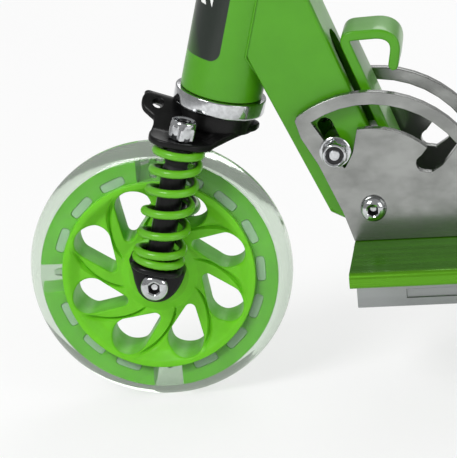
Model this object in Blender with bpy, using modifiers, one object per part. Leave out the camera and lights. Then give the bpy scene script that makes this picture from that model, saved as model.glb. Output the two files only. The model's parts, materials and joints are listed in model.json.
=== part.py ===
"""Folding three-wheel kick scooter, modelled as separate pieces at real size.

Metres, +Z up, +X towards the rear, -Y the rider's left. The origin is on the ground in the
middle of the scooter's length and width. Heights and distances of the front end are measured
from the front axle, and those of the steered pieces along and behind the steering axis.
"""
import math
from dataclasses import dataclass

import bmesh
import bpy
from mathutils import Matrix, Vector

# Overall layout
WHEELBASE = 0.495
HEAD_TILT = math.radians(15.0)      # the steering axis leans back
FORK_RAKE = 0.014                   # the front axle lies this far ahead of the steering axis
GAP = 0.0003                        # clearance between pieces that touch or run on each other

# Facets of round pieces
ROUND_LARGE = 28
ROUND_MEDIUM = 20
ROUND_SMALL = 12
ROUND_FRONT_WHEEL = 40
ROUND_REAR_WHEEL = 24
COIL_POINTS = 8                     # points in one curl of a spring

# Front wheel
FRONT_R = 0.0725
FRONT_TYRE_HALF = 0.0148
FRONT_RIM_R = 0.0532
FRONT_RIM_HALF = 0.0155
FRONT_FLANGE_R = 0.0649
FRONT_FLANGE_HALF = 0.0106
FRONT_WEB_HALF = 0.0110
FRONT_HUB_HALF = 0.0145
FRONT_OPENING_R = 0.0100            # round end of a teardrop opening
FRONT_NOSE_R = 0.0265               # radius at which a teardrop's narrow end lies
FRONT_NOSE_ROUND = 0.0030
WINDOW_LENGTH = 0.0125
WINDOW_HEIGHT = 0.0046
WINDOW_RING_R = 0.0578
LED_GAP_WIDTH = 0.0160
SPOKES = 8
SPIRAL = math.radians(35.0)         # a spoke's inner end is turned this far from its outer end
RIM_WALL = 0.0032                   # between the openings and the rim's outside
HUB_RING_R = 0.0210                 # where the spokes leave the hub
FIRST_OPENING = math.radians(16.5)  # round end of the first teardrop

# Rear wheels
REAR_R = 0.060
REAR_TYRE_HALF = 0.0120
REAR_RIM_R = 0.0440
REAR_RIM_HALF = 0.0125
REAR_WEB_HALF = 0.0090
REAR_HUB_HALF = 0.0120
REAR_OPENING_R = 0.0080
REAR_NOSE_R = 0.0228
REAR_NOSE_ROUND = 0.0024
REAR_TRACK_HALF = 0.060             # centre of a rear wheel from the middle plane

# Bearings and axles
BEARING_R = 0.0110
BEARING_WIDTH = 0.0070
HUB_SHOULDER_R = 0.0068
AXLE_R = 0.0040
AXLE_HEAD_R = 0.0078
AXLE_HEAD_HEIGHT = 0.0040
NUT_FLATS = 0.0130
NUT_HEIGHT = 0.0065
SPACER_R = 0.0062

# Sprung fork
LEG_HALF_TRACK = 0.030              # leg centre from the middle plane
LEG_AHEAD = 0.015                   # leg centre ahead of the steering axis
LEG_ROD_R = 0.0070
LEG_STUD_R = 0.0040
SUSPENSION_TRAVEL = 0.012
SPRING_R = 0.01225                  # middle of the wire
SPRING_WIRE_R = 0.00225
SPRING_OPEN_TURNS = 5.0
SPRING_CLOSED_TURNS = 1.0
SPRING_CLOSED_PITCH = 0.0052
SEAT_HEIGHT = 0.0117                # top of the spring seat above the axle
SEAT_THICKNESS = 0.0030
SEAT_HALF_LENGTH = 0.0142
SEAT_HALF_WIDTH = 0.0138
DROPOUT_OUTER = 0.0340
DROPOUT_INNER = 0.0190
DROPOUT_R = 0.0112
DROPOUT_TOP_HALF = 0.0125

# Fork crown
CROWN_TOP = 0.0915
CROWN_PAD_TOP = 0.0840
CROWN_THICKNESS = 0.0045
CROWN_PAD_OUTER = 0.0410
CROWN_PAD_INNER = 0.0210
CROWN_FLAT_HALF = 0.0130
CROWN_FRONT = 0.0340
CROWN_REAR = 0.0228
CROWN_TAB_HOLE_R = 0.0033
CROWN_TAB_HOLE_AHEAD = 0.0322
CROWN_TAB_R = 0.0081
CROWN_BOSS_R = 0.0205
CROWN_BOSS_TOP = 0.0967

# Head tube and column
HEAD_TUBE_R = 0.0225
HEAD_TUBE_WALL = 0.0030
HEAD_TUBE_BOTTOM = 0.1063
HEAD_TUBE_LENGTH = 0.1150
CUP_R = 0.0250
CUP_SKIRT = 0.0090
UPPER_CUP_HEIGHT = 0.0090
COLUMN_R = 0.0170
COLUMN_WALL = 0.0020
COLUMN_TOP = 0.330
INNER_TUBE_R = 0.0145
INNER_TUBE_WALL = 0.0018
INNER_TUBE_BOTTOM = 0.140
BAR_HEIGHT = 0.610                  # crossbar's middle, along the steering axis
BAR_R = 0.0110
BAR_WALL = 0.0020
BAR_HALF = 0.150
GRIP_LENGTH = 0.105
GRIP_R = 0.0155
GRIP_FLANGE_R = 0.0205
GRIP_END = 0.0030

# Quick-release clamp
CLAMP_BOTTOM = 0.300
CLAMP_HEIGHT = 0.032
CLAMP_WALL = 0.0050
CLAMP_SLIT = 0.0030
CLAMP_EAR_HALF = 0.0085
CLAMP_EAR_LENGTH = 0.0160
CLAMP_BOLT_R = 0.0030
CAM_R = 0.0075
CAM_SLOT = 0.0072
CAM_PIN_R = 0.0022
LEVER_LENGTH = 0.062
LEVER_THICKNESS = 0.0050
LEVER_HEIGHT = 0.0150

# Folding joint, measured from the front axle and the pivot
PIVOT_BACK = 0.1212
PIVOT_UP = 0.0364
FOLD_ANGLE = math.radians(80.0)
PLATE_INNER = 0.0220
PLATE_THICKNESS = 0.0050
PLATE_R = 0.0650
SLOT_INNER_R = 0.0448
SLOT_OUTER_R = 0.0580
LOCK_R = 0.0375                     # seated lock pin from the pivot
LOCK_ANGLE = math.radians(119.0)
LOCK_LIFT = 0.014
LOCK_LEAN = math.radians(22.0)      # the hook slides up along this direction
LOCK_PIN_R = 0.0040
LOCK_NUT_R = 0.0085                 # outside of its flange
LOCK_NUT_FLANGE = 0.0015
LOCK_NUT_HEIGHT = 0.0085
LOCK_NUT_RECESS = 0.0008            # the bolt's end lies this far inside the nut
PIVOT_R = 0.0040
PIVOT_HEAD_R = 0.00715
PIVOT_HEAD_HEIGHT = 0.0050
PIVOT_SLEEVE_R = 0.0085

# Beam between head tube and pivot
# Its side-view corners lie along its front edge and its rear edge, from the front axle
BEAM_HALF = 0.0200
BEAM_FRONT_TOP = (0.0656, 0.1052)
BEAM_FRONT_LOW = (0.0974, 0.0326)
BEAM_FRONT_CUT = (0.1051, 0.0285)
BEAM_REAR_TOP = (0.0973, 0.1434)
BEAM_REAR_LOW = (0.1127, 0.1015)
HOOK_SLOT_TOP = 0.130
HOOK_SLOT_BOTTOM = 0.050
HOOK_SLOT_HALF = 0.0110
BEAM_WALL = 0.0030
HOOK_HALF = 0.0150
HOOK_THICKNESS = 0.0055
HOOK_ARM_HALF = 0.0080
HOOK_ARM_HEIGHT = 0.0100
HOOK_BEND_UP = 0.1295               # height of the bend at the top of its long strip
HOOK_CREST = (0.1378, 0.1302)       # the bend at its rear
HOOK_TIP = (0.1362, 0.1122)
LOCK_SPRING_R = 0.0042
LOCK_SPRING_WIRE_R = 0.0006
LOCK_SPRING_TURNS = 4
LOCK_SPRING_LENGTH = 0.026

# Deck and under-frame, measured from the front axle
DECK_FRONT = 0.1100
DECK_TAIL = 0.0700                  # from the deck's end to the rear axle
DECK_REAR = WHEELBASE - DECK_TAIL
DECK_TOP = 0.0180
DECK_FLAT_HALF = 0.0290
DECK_HALF = 0.0780
DECK_EDGE_TOP = 0.0158
DECK_EDGE_BOTTOM = 0.0075
DECK_THICKNESS = 0.0025
DECK_EDGE_THICKNESS = 0.0042
DECK_TAIL_CORNER = 0.030
MAT_FRONT = 0.2050
MAT_REAR = DECK_REAR - 0.0130
MAT_HALF = 0.0660
MAT_THICKNESS = 0.0010
CHANNEL_HALF = 0.0280
CHANNEL_BOTTOM = -0.0195
CHANNEL_WALL = 0.0025
CHANNEL_FRONT = 0.1090
CHANNEL_GROOVE_FRONT = 0.1360
CHANNEL_GROOVE_DEPTH = 0.0010

# Rear bracket and brake, measured from the front axle
BRACKET_GRIP = 0.0400               # how far the bracket reaches into the channel
BRACKET_FRONT = DECK_REAR - BRACKET_GRIP
BRACKET_WALL = 0.0040
BRACKET_BOSS_R = 0.0105
BRAKE_PIN_AHEAD = 0.0590            # from the brake's pin to the rear axle
BRAKE_PIN_BACK = WHEELBASE - BRAKE_PIN_AHEAD
BRAKE_PIN_UP = 0.0270
BRAKE_PIN_R = 0.0030
BRAKE_EAR_R = 0.0070
FENDER_GAP = 0.0060
FENDER_THICKNESS = 0.0025
FENDER_HALF = 0.0740
FENDER_REAR_ANGLE = math.radians(38.0)
FENDER_FRONT_ANGLE = math.radians(132.0)
BRAKE_SPRING_TURNS = 3
BRAKE_SPRING_WIRE_R = 0.0008

# Places worked out from the sizes above
AXLE = Vector((-(WHEELBASE + REAR_R - FRONT_R) / 2, 0.0, FRONT_R))
REAR_AXLE = AXLE + Vector((WHEELBASE, 0.0, REAR_R - FRONT_R))
PIVOT = AXLE + Vector((PIVOT_BACK, 0.0, PIVOT_UP))
STEERING = AXLE + FORK_RAKE * Vector((math.cos(HEAD_TILT), 0.0, -math.sin(HEAD_TILT)))
PLATE_OUTER = PLATE_INNER + PLATE_THICKNESS
CROWN_BOTTOM = CROWN_TOP - CROWN_THICKNESS
CROWN_PAD_BOTTOM = CROWN_PAD_TOP - CROWN_THICKNESS
HEAD_TUBE_TOP = HEAD_TUBE_BOTTOM + HEAD_TUBE_LENGTH
COLUMN_BORE = COLUMN_R - COLUMN_WALL

# Ways in which a piece is laid: drawn from above, from the left side, and from behind
PLAN = (0.0, 0.0, 0.0)
SIDE = (math.pi / 2, 0.0, 0.0)
ACROSS = (math.pi / 2, 0.0, math.pi / 2)

for old in list(bpy.data.objects):
    bpy.data.objects.remove(old, do_unlink=True)
PARTS = bpy.data.collections.new("kick_scooter")
CUTTERS = bpy.data.collections.new("cutters")
for group in (PARTS, CUTTERS):
    bpy.context.scene.collection.children.link(group)


def make_material(name, colour, roughness, metallic=0.0):
    """One Principled material in a plain colour."""
    made = bpy.data.materials.new(name)
    made.use_nodes = True
    shader = made.node_tree.nodes["Principled BSDF"]
    shader.inputs["Base Color"].default_value = (*colour, 1.0)
    shader.inputs["Roughness"].default_value = roughness
    shader.inputs["Metallic"].default_value = metallic
    made.diffuse_color = (*colour, 1.0)
    return made


GREEN_PAINT = make_material("green_paint", (0.10, 0.42, 0.02), 0.25)
GREEN_PLASTIC = make_material("green_plastic", (0.12, 0.50, 0.03), 0.35)
BLACK_PAINT = make_material("black_paint", (0.008, 0.008, 0.009), 0.30)
BLACK_RUBBER = make_material("black_rubber", (0.012, 0.012, 0.012), 0.75)
CLEAR_TYRE = make_material("clear_tyre", (0.55, 0.68, 0.58), 0.15)
CHROME = make_material("chrome", (0.75, 0.76, 0.77), 0.10, 1.0)
STEEL = make_material("steel", (0.45, 0.46, 0.47), 0.30, 1.0)
GREEN_ALUMINIUM = make_material("green_aluminium", (0.10, 0.42, 0.02), 0.25)
BARE_ALUMINIUM = make_material("bare_aluminium", (0.55, 0.57, 0.58), 0.40, 0.6)


def rounded(corners, steps=4):
    """An outline through corners (x, y, radius), each replaced by an arc of its radius."""
    points = []
    for index, (x, y, radius) in enumerate(corners):
        here = Vector((x, y))
        if radius <= 0.0:
            points.append((x, y))
            continue
        to_last = (Vector(corners[index - 1][:2]) - here).normalized()
        to_next = (Vector(corners[(index + 1) % len(corners)][:2]) - here).normalized()
        half = to_last.angle(to_next) / 2
        centre = here + (to_last + to_next).normalized() * (radius / math.sin(half))
        start = here + to_last * (radius / math.tan(half)) - centre
        stop = here + to_next * (radius / math.tan(half)) - centre
        turn = start.angle_signed(stop)
        for step in range(steps + 1):
            arm = start.copy()
            arm.rotate(Matrix.Rotation(-turn * step / steps, 2))
            points.append(tuple(centre + arm))
    return points


def polar(radius, angle, centre=(0.0, 0.0)):
    """A point at a radius and angle about a centre."""
    return (centre[0] + radius * math.cos(angle), centre[1] + radius * math.sin(angle))


def arc(radius, start, stop, steps, centre=(0.0, 0.0)):
    """Points along an arc, both ends included."""
    return [polar(radius, start + (stop - start) * i / steps, centre) for i in range(steps + 1)]


def add_object(name, data, parent, at=(0.0, 0.0, 0.0), turn=PLAN, group=PARTS):
    """Link an object to a collection and place it under its parent."""
    made = bpy.data.objects.new(name, data)
    group.objects.link(made)
    made.parent = parent
    made.location = at
    made.rotation_euler = turn
    return made


def datum(name, parent, at, turn=PLAN):
    """An empty that carries the pieces of one moving group."""
    made = add_object(name, None, parent, at, turn)
    made.empty_display_size = 0.02
    return made


def finish(made, material, crease=math.radians(35.0)):
    """Give a piece its material and smooth shading."""
    made.data.materials.clear()
    made.data.materials.append(material)
    made.data.shade_smooth()
    made.data.set_sharp_from_angle(angle=crease)
    return made


def prism(name, outline, low, high, parent, at=(0.0, 0.0, 0.0), turn=PLAN, holes=()):
    """A flat outline with thickness from low to high along its own Z."""
    flat = bpy.data.curves.new(name, "CURVE")
    flat.dimensions = "2D"
    flat.fill_mode = "BOTH"
    flat.extrude = (high - low) / 2
    for loop in (outline, *holes):
        spline = flat.splines.new("POLY")
        spline.points.add(len(loop) - 1)
        for point, (x, y) in zip(spline.points, loop):
            point.co = (x, y, 0.0, 1.0)
        spline.use_cyclic_u = True
    guide = add_object(name + "_outline", flat, None)
    bpy.context.view_layer.update()
    depsgraph = bpy.context.evaluated_depsgraph_get()
    mesh = bpy.data.meshes.new_from_object(guide.evaluated_get(depsgraph))
    bpy.data.objects.remove(guide, do_unlink=True)
    shape = bmesh.new()
    shape.from_mesh(mesh)
    bmesh.ops.remove_doubles(shape, verts=shape.verts, dist=1e-6)
    bmesh.ops.translate(shape, verts=shape.verts, vec=(0.0, 0.0, (low + high) / 2))
    bmesh.ops.recalc_face_normals(shape, faces=shape.faces)
    shape.to_mesh(mesh)
    shape.free()
    return add_object(name, mesh, parent, at, turn)


def box(name, low, high, parent, at=(0.0, 0.0, 0.0), turn=PLAN):
    """A box between two corners."""
    mesh = bpy.data.meshes.new(name)
    shape = bmesh.new()
    bmesh.ops.create_cube(shape, size=1.0)
    size = Vector(high) - Vector(low)
    bmesh.ops.scale(shape, verts=shape.verts, vec=size)
    bmesh.ops.translate(shape, verts=shape.verts, vec=Vector(low) + size / 2)
    shape.to_mesh(mesh)
    shape.free()
    return add_object(name, mesh, parent, at, turn)


def cylinder(name, radius, low, high, parent, at=(0.0, 0.0, 0.0), turn=PLAN, sides=ROUND_MEDIUM):
    """A round bar from low to high along its own Z."""
    mesh = bpy.data.meshes.new(name)
    shape = bmesh.new()
    bmesh.ops.create_cone(shape, cap_ends=True, segments=sides, radius1=radius, radius2=radius,
                          depth=high - low)
    bmesh.ops.translate(shape, verts=shape.verts, vec=(0.0, 0.0, (low + high) / 2))
    shape.to_mesh(mesh)
    shape.free()
    return add_object(name, mesh, parent, at, turn)


def turned(name, profile, parent, at=(0.0, 0.0, 0.0), turn=PLAN, steps=ROUND_MEDIUM, closed=True):
    """A turned piece: a profile of (radius, height) that runs down its outer side."""
    mesh = bpy.data.meshes.new(name)
    count = len(profile)
    edges = [(i, i + 1) for i in range(count - 1)]
    if closed:
        edges.append((count - 1, 0))
    mesh.from_pydata([(radius, 0.0, height) for radius, height in profile], edges, [])
    made = add_object(name, mesh, parent, at, turn)
    screw = made.modifiers.new("turn", "SCREW")
    screw.steps = steps
    screw.render_steps = steps
    screw.use_merge_vertices = True
    screw.merge_threshold = 1e-5
    return made


def tube(name, outer, inner, low, high, parent, at=(0.0, 0.0, 0.0), turn=PLAN, steps=ROUND_MEDIUM):
    """A round tube open at both ends."""
    profile = [(inner, high), (outer, high), (outer, low), (inner, low)]
    return turned(name, profile, parent, at, turn, steps)


def wire(name, points, radius, parent, at=(0.0, 0.0, 0.0), turn=PLAN):
    """A round wire through points, with filled ends."""
    path = bpy.data.curves.new(name, "CURVE")
    path.dimensions = "3D"
    path.bevel_depth = radius
    path.bevel_resolution = 1
    path.use_fill_caps = True
    spline = path.splines.new("POLY")
    spline.points.add(len(points) - 1)
    for point, place in zip(spline.points, points):
        point.co = (*place, 1.0)
    return add_object(name, path, parent, at, turn)


def use_tool(target, tool, operation):
    """Cut a tool from a piece, or join it, and keep the tool among the cutters."""
    for owner in tool.users_collection:
        owner.objects.unlink(tool)
    CUTTERS.objects.link(tool)
    tool.hide_render = True
    tool.display_type = "WIRE"
    step = target.modifiers.new(tool.name, "BOOLEAN")
    step.operation = operation
    step.solver = "EXACT"
    step.object = tool


def cut(target, *tools):
    """Take each tool's space out of a piece."""
    for tool in tools:
        use_tool(target, tool, "DIFFERENCE")


def fuse(target, *tools):
    """Join each tool's shape to a piece."""
    for tool in tools:
        use_tool(target, tool, "UNION")


def coil(radius, stretches, per_turn, start=0.0):
    """Points of a helix along Z made of stretches of (turns, pitch)."""
    points = []
    angle, height = start, 0.0
    for index, (turns, pitch) in enumerate(stretches):
        count = round(turns * per_turn)
        for step in range(count + (index == len(stretches) - 1)):
            around = angle + 2 * math.pi * step / per_turn
            points.append((radius * math.cos(around), radius * math.sin(around),
                           height + pitch * step / per_turn))
        angle += 2 * math.pi * count / per_turn
        height += pitch * count / per_turn
    return points


def least_gap(points, per_turn, wire_r):
    """The least distance between wire surfaces that are half a turn or more apart."""
    places = [Vector(point) for point in points]
    least = min((places[i] - places[j]).length
                for i in range(len(places)) for j in range(i + per_turn // 2, len(places)))
    return least - 2 * wire_r


def button_bolt(name, shank_r, length, head_r, head_height, parent, at, turn, material):
    """A button-head bolt with a hexagon socket; its head stands on local Z = 0."""
    profile = [(0.0, head_height), (head_r * 0.55, head_height), (head_r * 0.86, head_height * 0.72),
               (head_r, head_height * 0.25), (head_r, 0.0), (shank_r, 0.0),
               (shank_r, -length), (0.0, -length)]
    made = turned(name, profile, parent, at, turn, steps=ROUND_MEDIUM, closed=False)
    socket = cylinder(name + "_socket", head_r * 0.36, head_height * 0.35, head_height * 2, parent,
                      at, turn, sides=6)
    cut(made, socket)
    return finish(made, material)


def hex_nut(name, flats, height, bore, parent, at, turn, material, collar=0.0):
    """A hexagon nut standing on local Z = 0, with a round collar if it is a locking nut."""
    corner = flats / math.sqrt(3.0)
    made = cylinder(name, corner, 0.0, height, parent, at, turn, sides=6)
    if collar > 0.0:
        fuse(made, cylinder(name + "_collar", flats * 0.47, height / 2, height + collar, parent,
                            at, turn, sides=ROUND_SMALL))
    cut(made, cylinder(name + "_bore", bore, -height, height * 3, parent, at, turn, sides=ROUND_SMALL))
    return finish(made, material)


@dataclass
class WheelSizes:
    """What a moulded wheel core and its tyre are made to."""
    radius: float
    tyre_half: float
    rim_r: float
    rim_half: float
    flange_r: float                 # 0 on a core without a flange inside its tyre
    flange_half: float
    web_half: float
    hub_half: float
    opening_r: float
    nose_r: float
    nose_round: float
    steps: int
    curl: int                       # facets of an opening's round end


FRONT_WHEEL = WheelSizes(FRONT_R, FRONT_TYRE_HALF, FRONT_RIM_R, FRONT_RIM_HALF, FRONT_FLANGE_R,
                         FRONT_FLANGE_HALF, FRONT_WEB_HALF, FRONT_HUB_HALF, FRONT_OPENING_R,
                         FRONT_NOSE_R, FRONT_NOSE_ROUND, ROUND_FRONT_WHEEL, 6)
REAR_WHEEL = WheelSizes(REAR_R, REAR_TYRE_HALF, REAR_RIM_R, REAR_RIM_HALF, 0.0, 0.0, REAR_WEB_HALF,
                        REAR_HUB_HALF, REAR_OPENING_R, REAR_NOSE_R, REAR_NOSE_ROUND, ROUND_REAR_WHEEL, 5)


def teardrop(size, index):
    """A large circle near the rim, a small one near the hub and their tangents, on a spiral."""
    centre_r = size.rim_r - RIM_WALL - size.opening_r
    turn = FIRST_OPENING + index * 2 * math.pi / SPOKES
    lag = SPIRAL * (centre_r - size.nose_r) / (size.rim_r - 2 * RIM_WALL - HUB_RING_R)
    centre = polar(centre_r, turn)
    nose = polar(size.nose_r, turn + lag)
    towards = math.atan2(nose[1] - centre[1], nose[0] - centre[0])
    spread = math.acos((size.opening_r - size.nose_round) / math.dist(centre, nose))
    return (arc(size.nose_round, towards - spread, towards + spread, 2, nose)
            + arc(size.opening_r, towards + spread, towards + 2 * math.pi - spread, size.curl,
                  centre))


def wheel_core(name, size, parent):
    """The moulded core: hub, eight spiral spokes, rim and the flange inside the tyre."""
    seat_r = BEARING_R + GAP
    shoulder = size.hub_half - GAP - BEARING_WIDTH - GAP
    half = [(seat_r, size.hub_half), (HUB_RING_R - 0.0045, size.hub_half),
            (HUB_RING_R, size.web_half), (size.rim_r - 2.8 * RIM_WALL, size.web_half),
            (size.rim_r - RIM_WALL, size.rim_half), (size.rim_r, size.rim_half)]
    if size.flange_r > 0.0:
        half += [(size.rim_r, size.flange_half), (size.flange_r, size.flange_half)]
    bore = [(seat_r, -shoulder), (HUB_SHOULDER_R, -shoulder), (HUB_SHOULDER_R, shoulder),
            (seat_r, shoulder)]
    profile = half + [(radius, -height) for radius, height in reversed(half)] + bore
    made = turned(name, profile, parent, turn=SIDE, steps=size.steps)
    past = size.rim_half * 1.5
    for index in range(SPOKES):
        cut(made, prism(f"{name}_opening_{index}", teardrop(size, index), -past, past, parent,
                        turn=SIDE))
    if size.flange_r > 0.0:
        cut_flange(made, size, parent)
    return finish(made, GREEN_PLASTIC)


def cut_flange(core, size, parent):
    """Lock windows round the flange, and three gaps for the lights."""
    past = size.flange_half * 1.3
    positions = 2 * SPOKES
    for index in range(positions):
        angle = index * 2 * math.pi / positions
        turn = (math.pi / 2, -angle, 0.0)
        name = f"{core.name}_window_{index}"
        if index in (positions // 4, positions // 2, 3 * positions // 4):
            low = (size.rim_r + 0.0008, -LED_GAP_WIDTH / 2, -past)
            high = (size.flange_r * 1.05, LED_GAP_WIDTH / 2, past)
            cut(core, box(name, low, high, parent, turn=turn))
            continue
        half_height = WINDOW_HEIGHT / 2
        half_length = WINDOW_LENGTH / 2
        corner = half_height * 0.8
        outline = rounded([(WINDOW_RING_R - half_height, -half_length, corner),
                           (WINDOW_RING_R + half_height, -half_length, corner),
                           (WINDOW_RING_R + half_height, half_length, corner),
                           (WINDOW_RING_R - half_height, half_length, corner)], steps=2)
        cut(core, prism(name, outline, -past, past, parent, turn=turn))


def wheel_tyre(name, size, parent):
    """The clear tyre, moulded round the core's flange."""
    base_r = size.rim_r + GAP
    depth = size.radius - base_r
    half = [(base_r, size.tyre_half * 0.90), (base_r + depth * 0.22, size.tyre_half),
            (base_r + depth * 0.50, size.tyre_half * 0.95),
            (base_r + depth * 0.74, size.tyre_half * 0.80),
            (base_r + depth * 0.91, size.tyre_half * 0.52),
            (base_r + depth * 0.985, size.tyre_half * 0.24), (size.radius, 0.0)]
    profile = half + [(radius, -height) for radius, height in reversed(half[:-1])]
    if size.flange_r > 0.0:
        groove_r = size.flange_r + GAP
        groove_half = size.flange_half + GAP
        profile += [(base_r, -groove_half), (groove_r, -groove_half), (groove_r, groove_half),
                    (base_r, groove_half)]
    return finish(turned(name, profile, parent, turn=SIDE, steps=size.steps), CLEAR_TYRE)


def ball_bearing(name, middle, parent):
    """A shielded ball bearing with its middle at a distance along the axle, left positive."""
    half = BEARING_WIDTH / 2
    made = tube(name, BEARING_R, AXLE_R + GAP, middle - half, middle + half, parent, turn=SIDE,
                steps=ROUND_MEDIUM)
    return finish(made, STEEL)


def steer(behind, up):
    """Side-view place, from the front axle, of a point behind and along the steering axis."""
    cos, sin = math.cos(HEAD_TILT), math.sin(HEAD_TILT)
    return ((behind + FORK_RAKE) * cos + up * sin, up * cos - (behind + FORK_RAKE) * sin)


def make_front_wheel(axle):
    """Core, tyre and two bearings on the front axle."""
    wheel_core("front_wheel_core", FRONT_WHEEL, axle)
    wheel_tyre("front_tyre", FRONT_WHEEL, axle)
    middle = FRONT_HUB_HALF - GAP - BEARING_WIDTH / 2
    ball_bearing("front_bearing_left", middle, axle)
    ball_bearing("front_bearing_right", -middle, axle)


def make_fork_lower(slide):
    """Rods, nuts, dropouts and axle: what rises when the front wheel meets a bump."""
    rod_top = CROWN_PAD_BOTTOM - SUSPENSION_TRAVEL - GAP
    nut_base = CROWN_PAD_TOP + GAP
    stud_top = nut_base + NUT_HEIGHT + 0.0012
    seat_low = SEAT_HEIGHT - SEAT_THICKNESS
    axle_at = (-FORK_RAKE, 0.0, 0.0)
    for side, name in ((-1, "left"), (1, "right")):
        leg = (-LEG_AHEAD, side * LEG_HALF_TRACK, 0.0)
        rod = [(0.0, stud_top), (LEG_STUD_R, stud_top), (LEG_STUD_R, rod_top), (LEG_ROD_R, rod_top),
               (LEG_ROD_R, SEAT_HEIGHT + GAP), (0.0, SEAT_HEIGHT + GAP)]
        finish(turned(f"leg_rod_{name}", rod, slide, leg, steps=ROUND_SMALL, closed=False), BLACK_PAINT)
        nut_at = (leg[0], leg[1], nut_base)
        hex_nut(f"leg_nut_{name}", NUT_FLATS, NUT_HEIGHT, LEG_STUD_R + GAP, slide, nut_at, PLAN,
                CHROME, collar=0.0028)
        seat = rounded([(-SEAT_HALF_LENGTH, -SEAT_HALF_WIDTH, 0.004),
                        (SEAT_HALF_LENGTH, -SEAT_HALF_WIDTH, 0.009),
                        (SEAT_HALF_LENGTH, SEAT_HALF_WIDTH, 0.009),
                        (-SEAT_HALF_LENGTH, SEAT_HALF_WIDTH, 0.004)])
        dropout = prism(f"dropout_{name}", seat, seat_low, SEAT_HEIGHT, slide, leg)
        top_half = DROPOUT_TOP_HALF
        lug = [(-LEG_AHEAD - top_half, SEAT_HEIGHT - 0.001), (-LEG_AHEAD - top_half, 0.003)]
        lug += arc(DROPOUT_R, math.radians(190.0), math.radians(350.0), 10, (-FORK_RAKE, 0.0))
        lug += [(-LEG_AHEAD + top_half, 0.003), (-LEG_AHEAD + top_half, SEAT_HEIGHT - 0.001)]
        inner, outer = sorted((-side * DROPOUT_INNER, -side * DROPOUT_OUTER))
        fuse(dropout, prism(f"dropout_{name}_lug", lug, inner, outer, slide, turn=SIDE))
        cut(dropout, cylinder(f"dropout_{name}_bore", AXLE_R + GAP, -0.05, 0.05, slide, axle_at,
                              SIDE, sides=ROUND_SMALL))
        finish(dropout, BLACK_PAINT)
        face = FRONT_HUB_HALF - GAP
        low, high = sorted((-side * (face + GAP), -side * (DROPOUT_INNER - GAP)))
        spacer = tube(f"axle_spacer_{name}", SPACER_R, AXLE_R + GAP, low, high, slide, axle_at,
                      SIDE, steps=ROUND_SMALL)
        finish(spacer, STEEL)
    head_at = (-FORK_RAKE, -(DROPOUT_OUTER + GAP), 0.0)
    length = 2 * (DROPOUT_OUTER + GAP) + NUT_HEIGHT + 0.002
    button_bolt("front_axle", AXLE_R, length, AXLE_HEAD_R, AXLE_HEAD_HEIGHT, slide, head_at, SIDE,
                CHROME)
    nut_turn = (-math.pi / 2, 0.0, 0.0)
    nut_at = (-FORK_RAKE, DROPOUT_OUTER + GAP, 0.0)
    hex_nut("front_axle_nut", NUT_FLATS, NUT_HEIGHT, AXLE_R + GAP, slide, nut_at, nut_turn, CHROME)


def make_springs(steering):
    """Two green compression springs between the spring seats and the crown."""
    low = SEAT_HEIGHT + GAP + SPRING_WIRE_R
    high = CROWN_PAD_BOTTOM - GAP - SPRING_WIRE_R
    closed_height = SPRING_CLOSED_TURNS * SPRING_CLOSED_PITCH
    open_pitch = (high - low - closed_height) / SPRING_OPEN_TURNS
    per_turn = COIL_POINTS
    stretches = [(SPRING_CLOSED_TURNS, SPRING_CLOSED_PITCH), (SPRING_OPEN_TURNS, open_pitch)]
    for side, name in ((-1, "left"), (1, "right")):
        points = coil(SPRING_R, stretches, per_turn, start=side * math.pi / 2)
        made = wire(f"spring_{name}", points, SPRING_WIRE_R, steering,
                    (-LEG_AHEAD, side * LEG_HALF_TRACK, low))
        made.data.materials.append(GREEN_PAINT)
        print(f"spring_{name} least gap to itself:",
              round(least_gap(points, per_turn, SPRING_WIRE_R) * 1000, 2), "mm")


def make_crown(steering):
    """The bent black plate that joins the legs to the column, with its tab in front."""
    bend = [(-CROWN_PAD_OUTER - 0.004, CROWN_PAD_TOP), (-CROWN_PAD_INNER, CROWN_PAD_TOP),
            (-CROWN_FLAT_HALF, CROWN_TOP), (CROWN_FLAT_HALF, CROWN_TOP),
            (CROWN_PAD_INNER, CROWN_PAD_TOP), (CROWN_PAD_OUTER + 0.004, CROWN_PAD_TOP)]
    under = [(across, up - CROWN_THICKNESS) for across, up in reversed(bend)]
    reach = CROWN_TAB_HOLE_AHEAD + CROWN_TAB_R + 0.005
    crown = prism("fork_crown", bend + under, -reach, CROWN_REAR + 0.005, steering, turn=ACROSS)
    pad_rear = -0.0037
    half = [(CROWN_REAR, -0.0070, 0.006), (-pad_rear, -LEG_HALF_TRACK, 0.008),
            (-pad_rear - 0.008, -CROWN_PAD_OUTER, 0.008),
            (-CROWN_FRONT + 0.003, -CROWN_PAD_OUTER, 0.008),
            (-CROWN_FRONT, -0.0085, 0.004), (-CROWN_TAB_HOLE_AHEAD - CROWN_TAB_R, -CROWN_TAB_R, 0.0078)]
    plan = rounded(half + [(x, -y, radius) for x, y, radius in reversed(half)])
    keep = prism("fork_crown_plan", plan, CROWN_PAD_BOTTOM - 0.01, CROWN_BOSS_TOP + 0.01, steering)
    use_tool(crown, keep, "INTERSECT")
    fuse(crown, cylinder("fork_crown_boss", CROWN_BOSS_R, CROWN_TOP - 0.001, CROWN_BOSS_TOP,
                         steering, sides=ROUND_LARGE))
    cut(crown, cylinder("fork_crown_bore", COLUMN_R + GAP, 0.05, 0.15, steering, sides=ROUND_LARGE))
    cut(crown, cylinder("fork_crown_tab_hole", CROWN_TAB_HOLE_R, 0.05, 0.15, steering,
                        (-CROWN_TAB_HOLE_AHEAD, 0.0, 0.0), sides=ROUND_MEDIUM))
    for side, name in ((-1, "left"), (1, "right")):
        cut(crown, cylinder(f"fork_crown_hole_{name}", LEG_STUD_R + GAP, 0.05, 0.15, steering,
                            (-LEG_AHEAD, side * LEG_HALF_TRACK, 0.0), sides=ROUND_SMALL))
    finish(crown, BLACK_PAINT)


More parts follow.
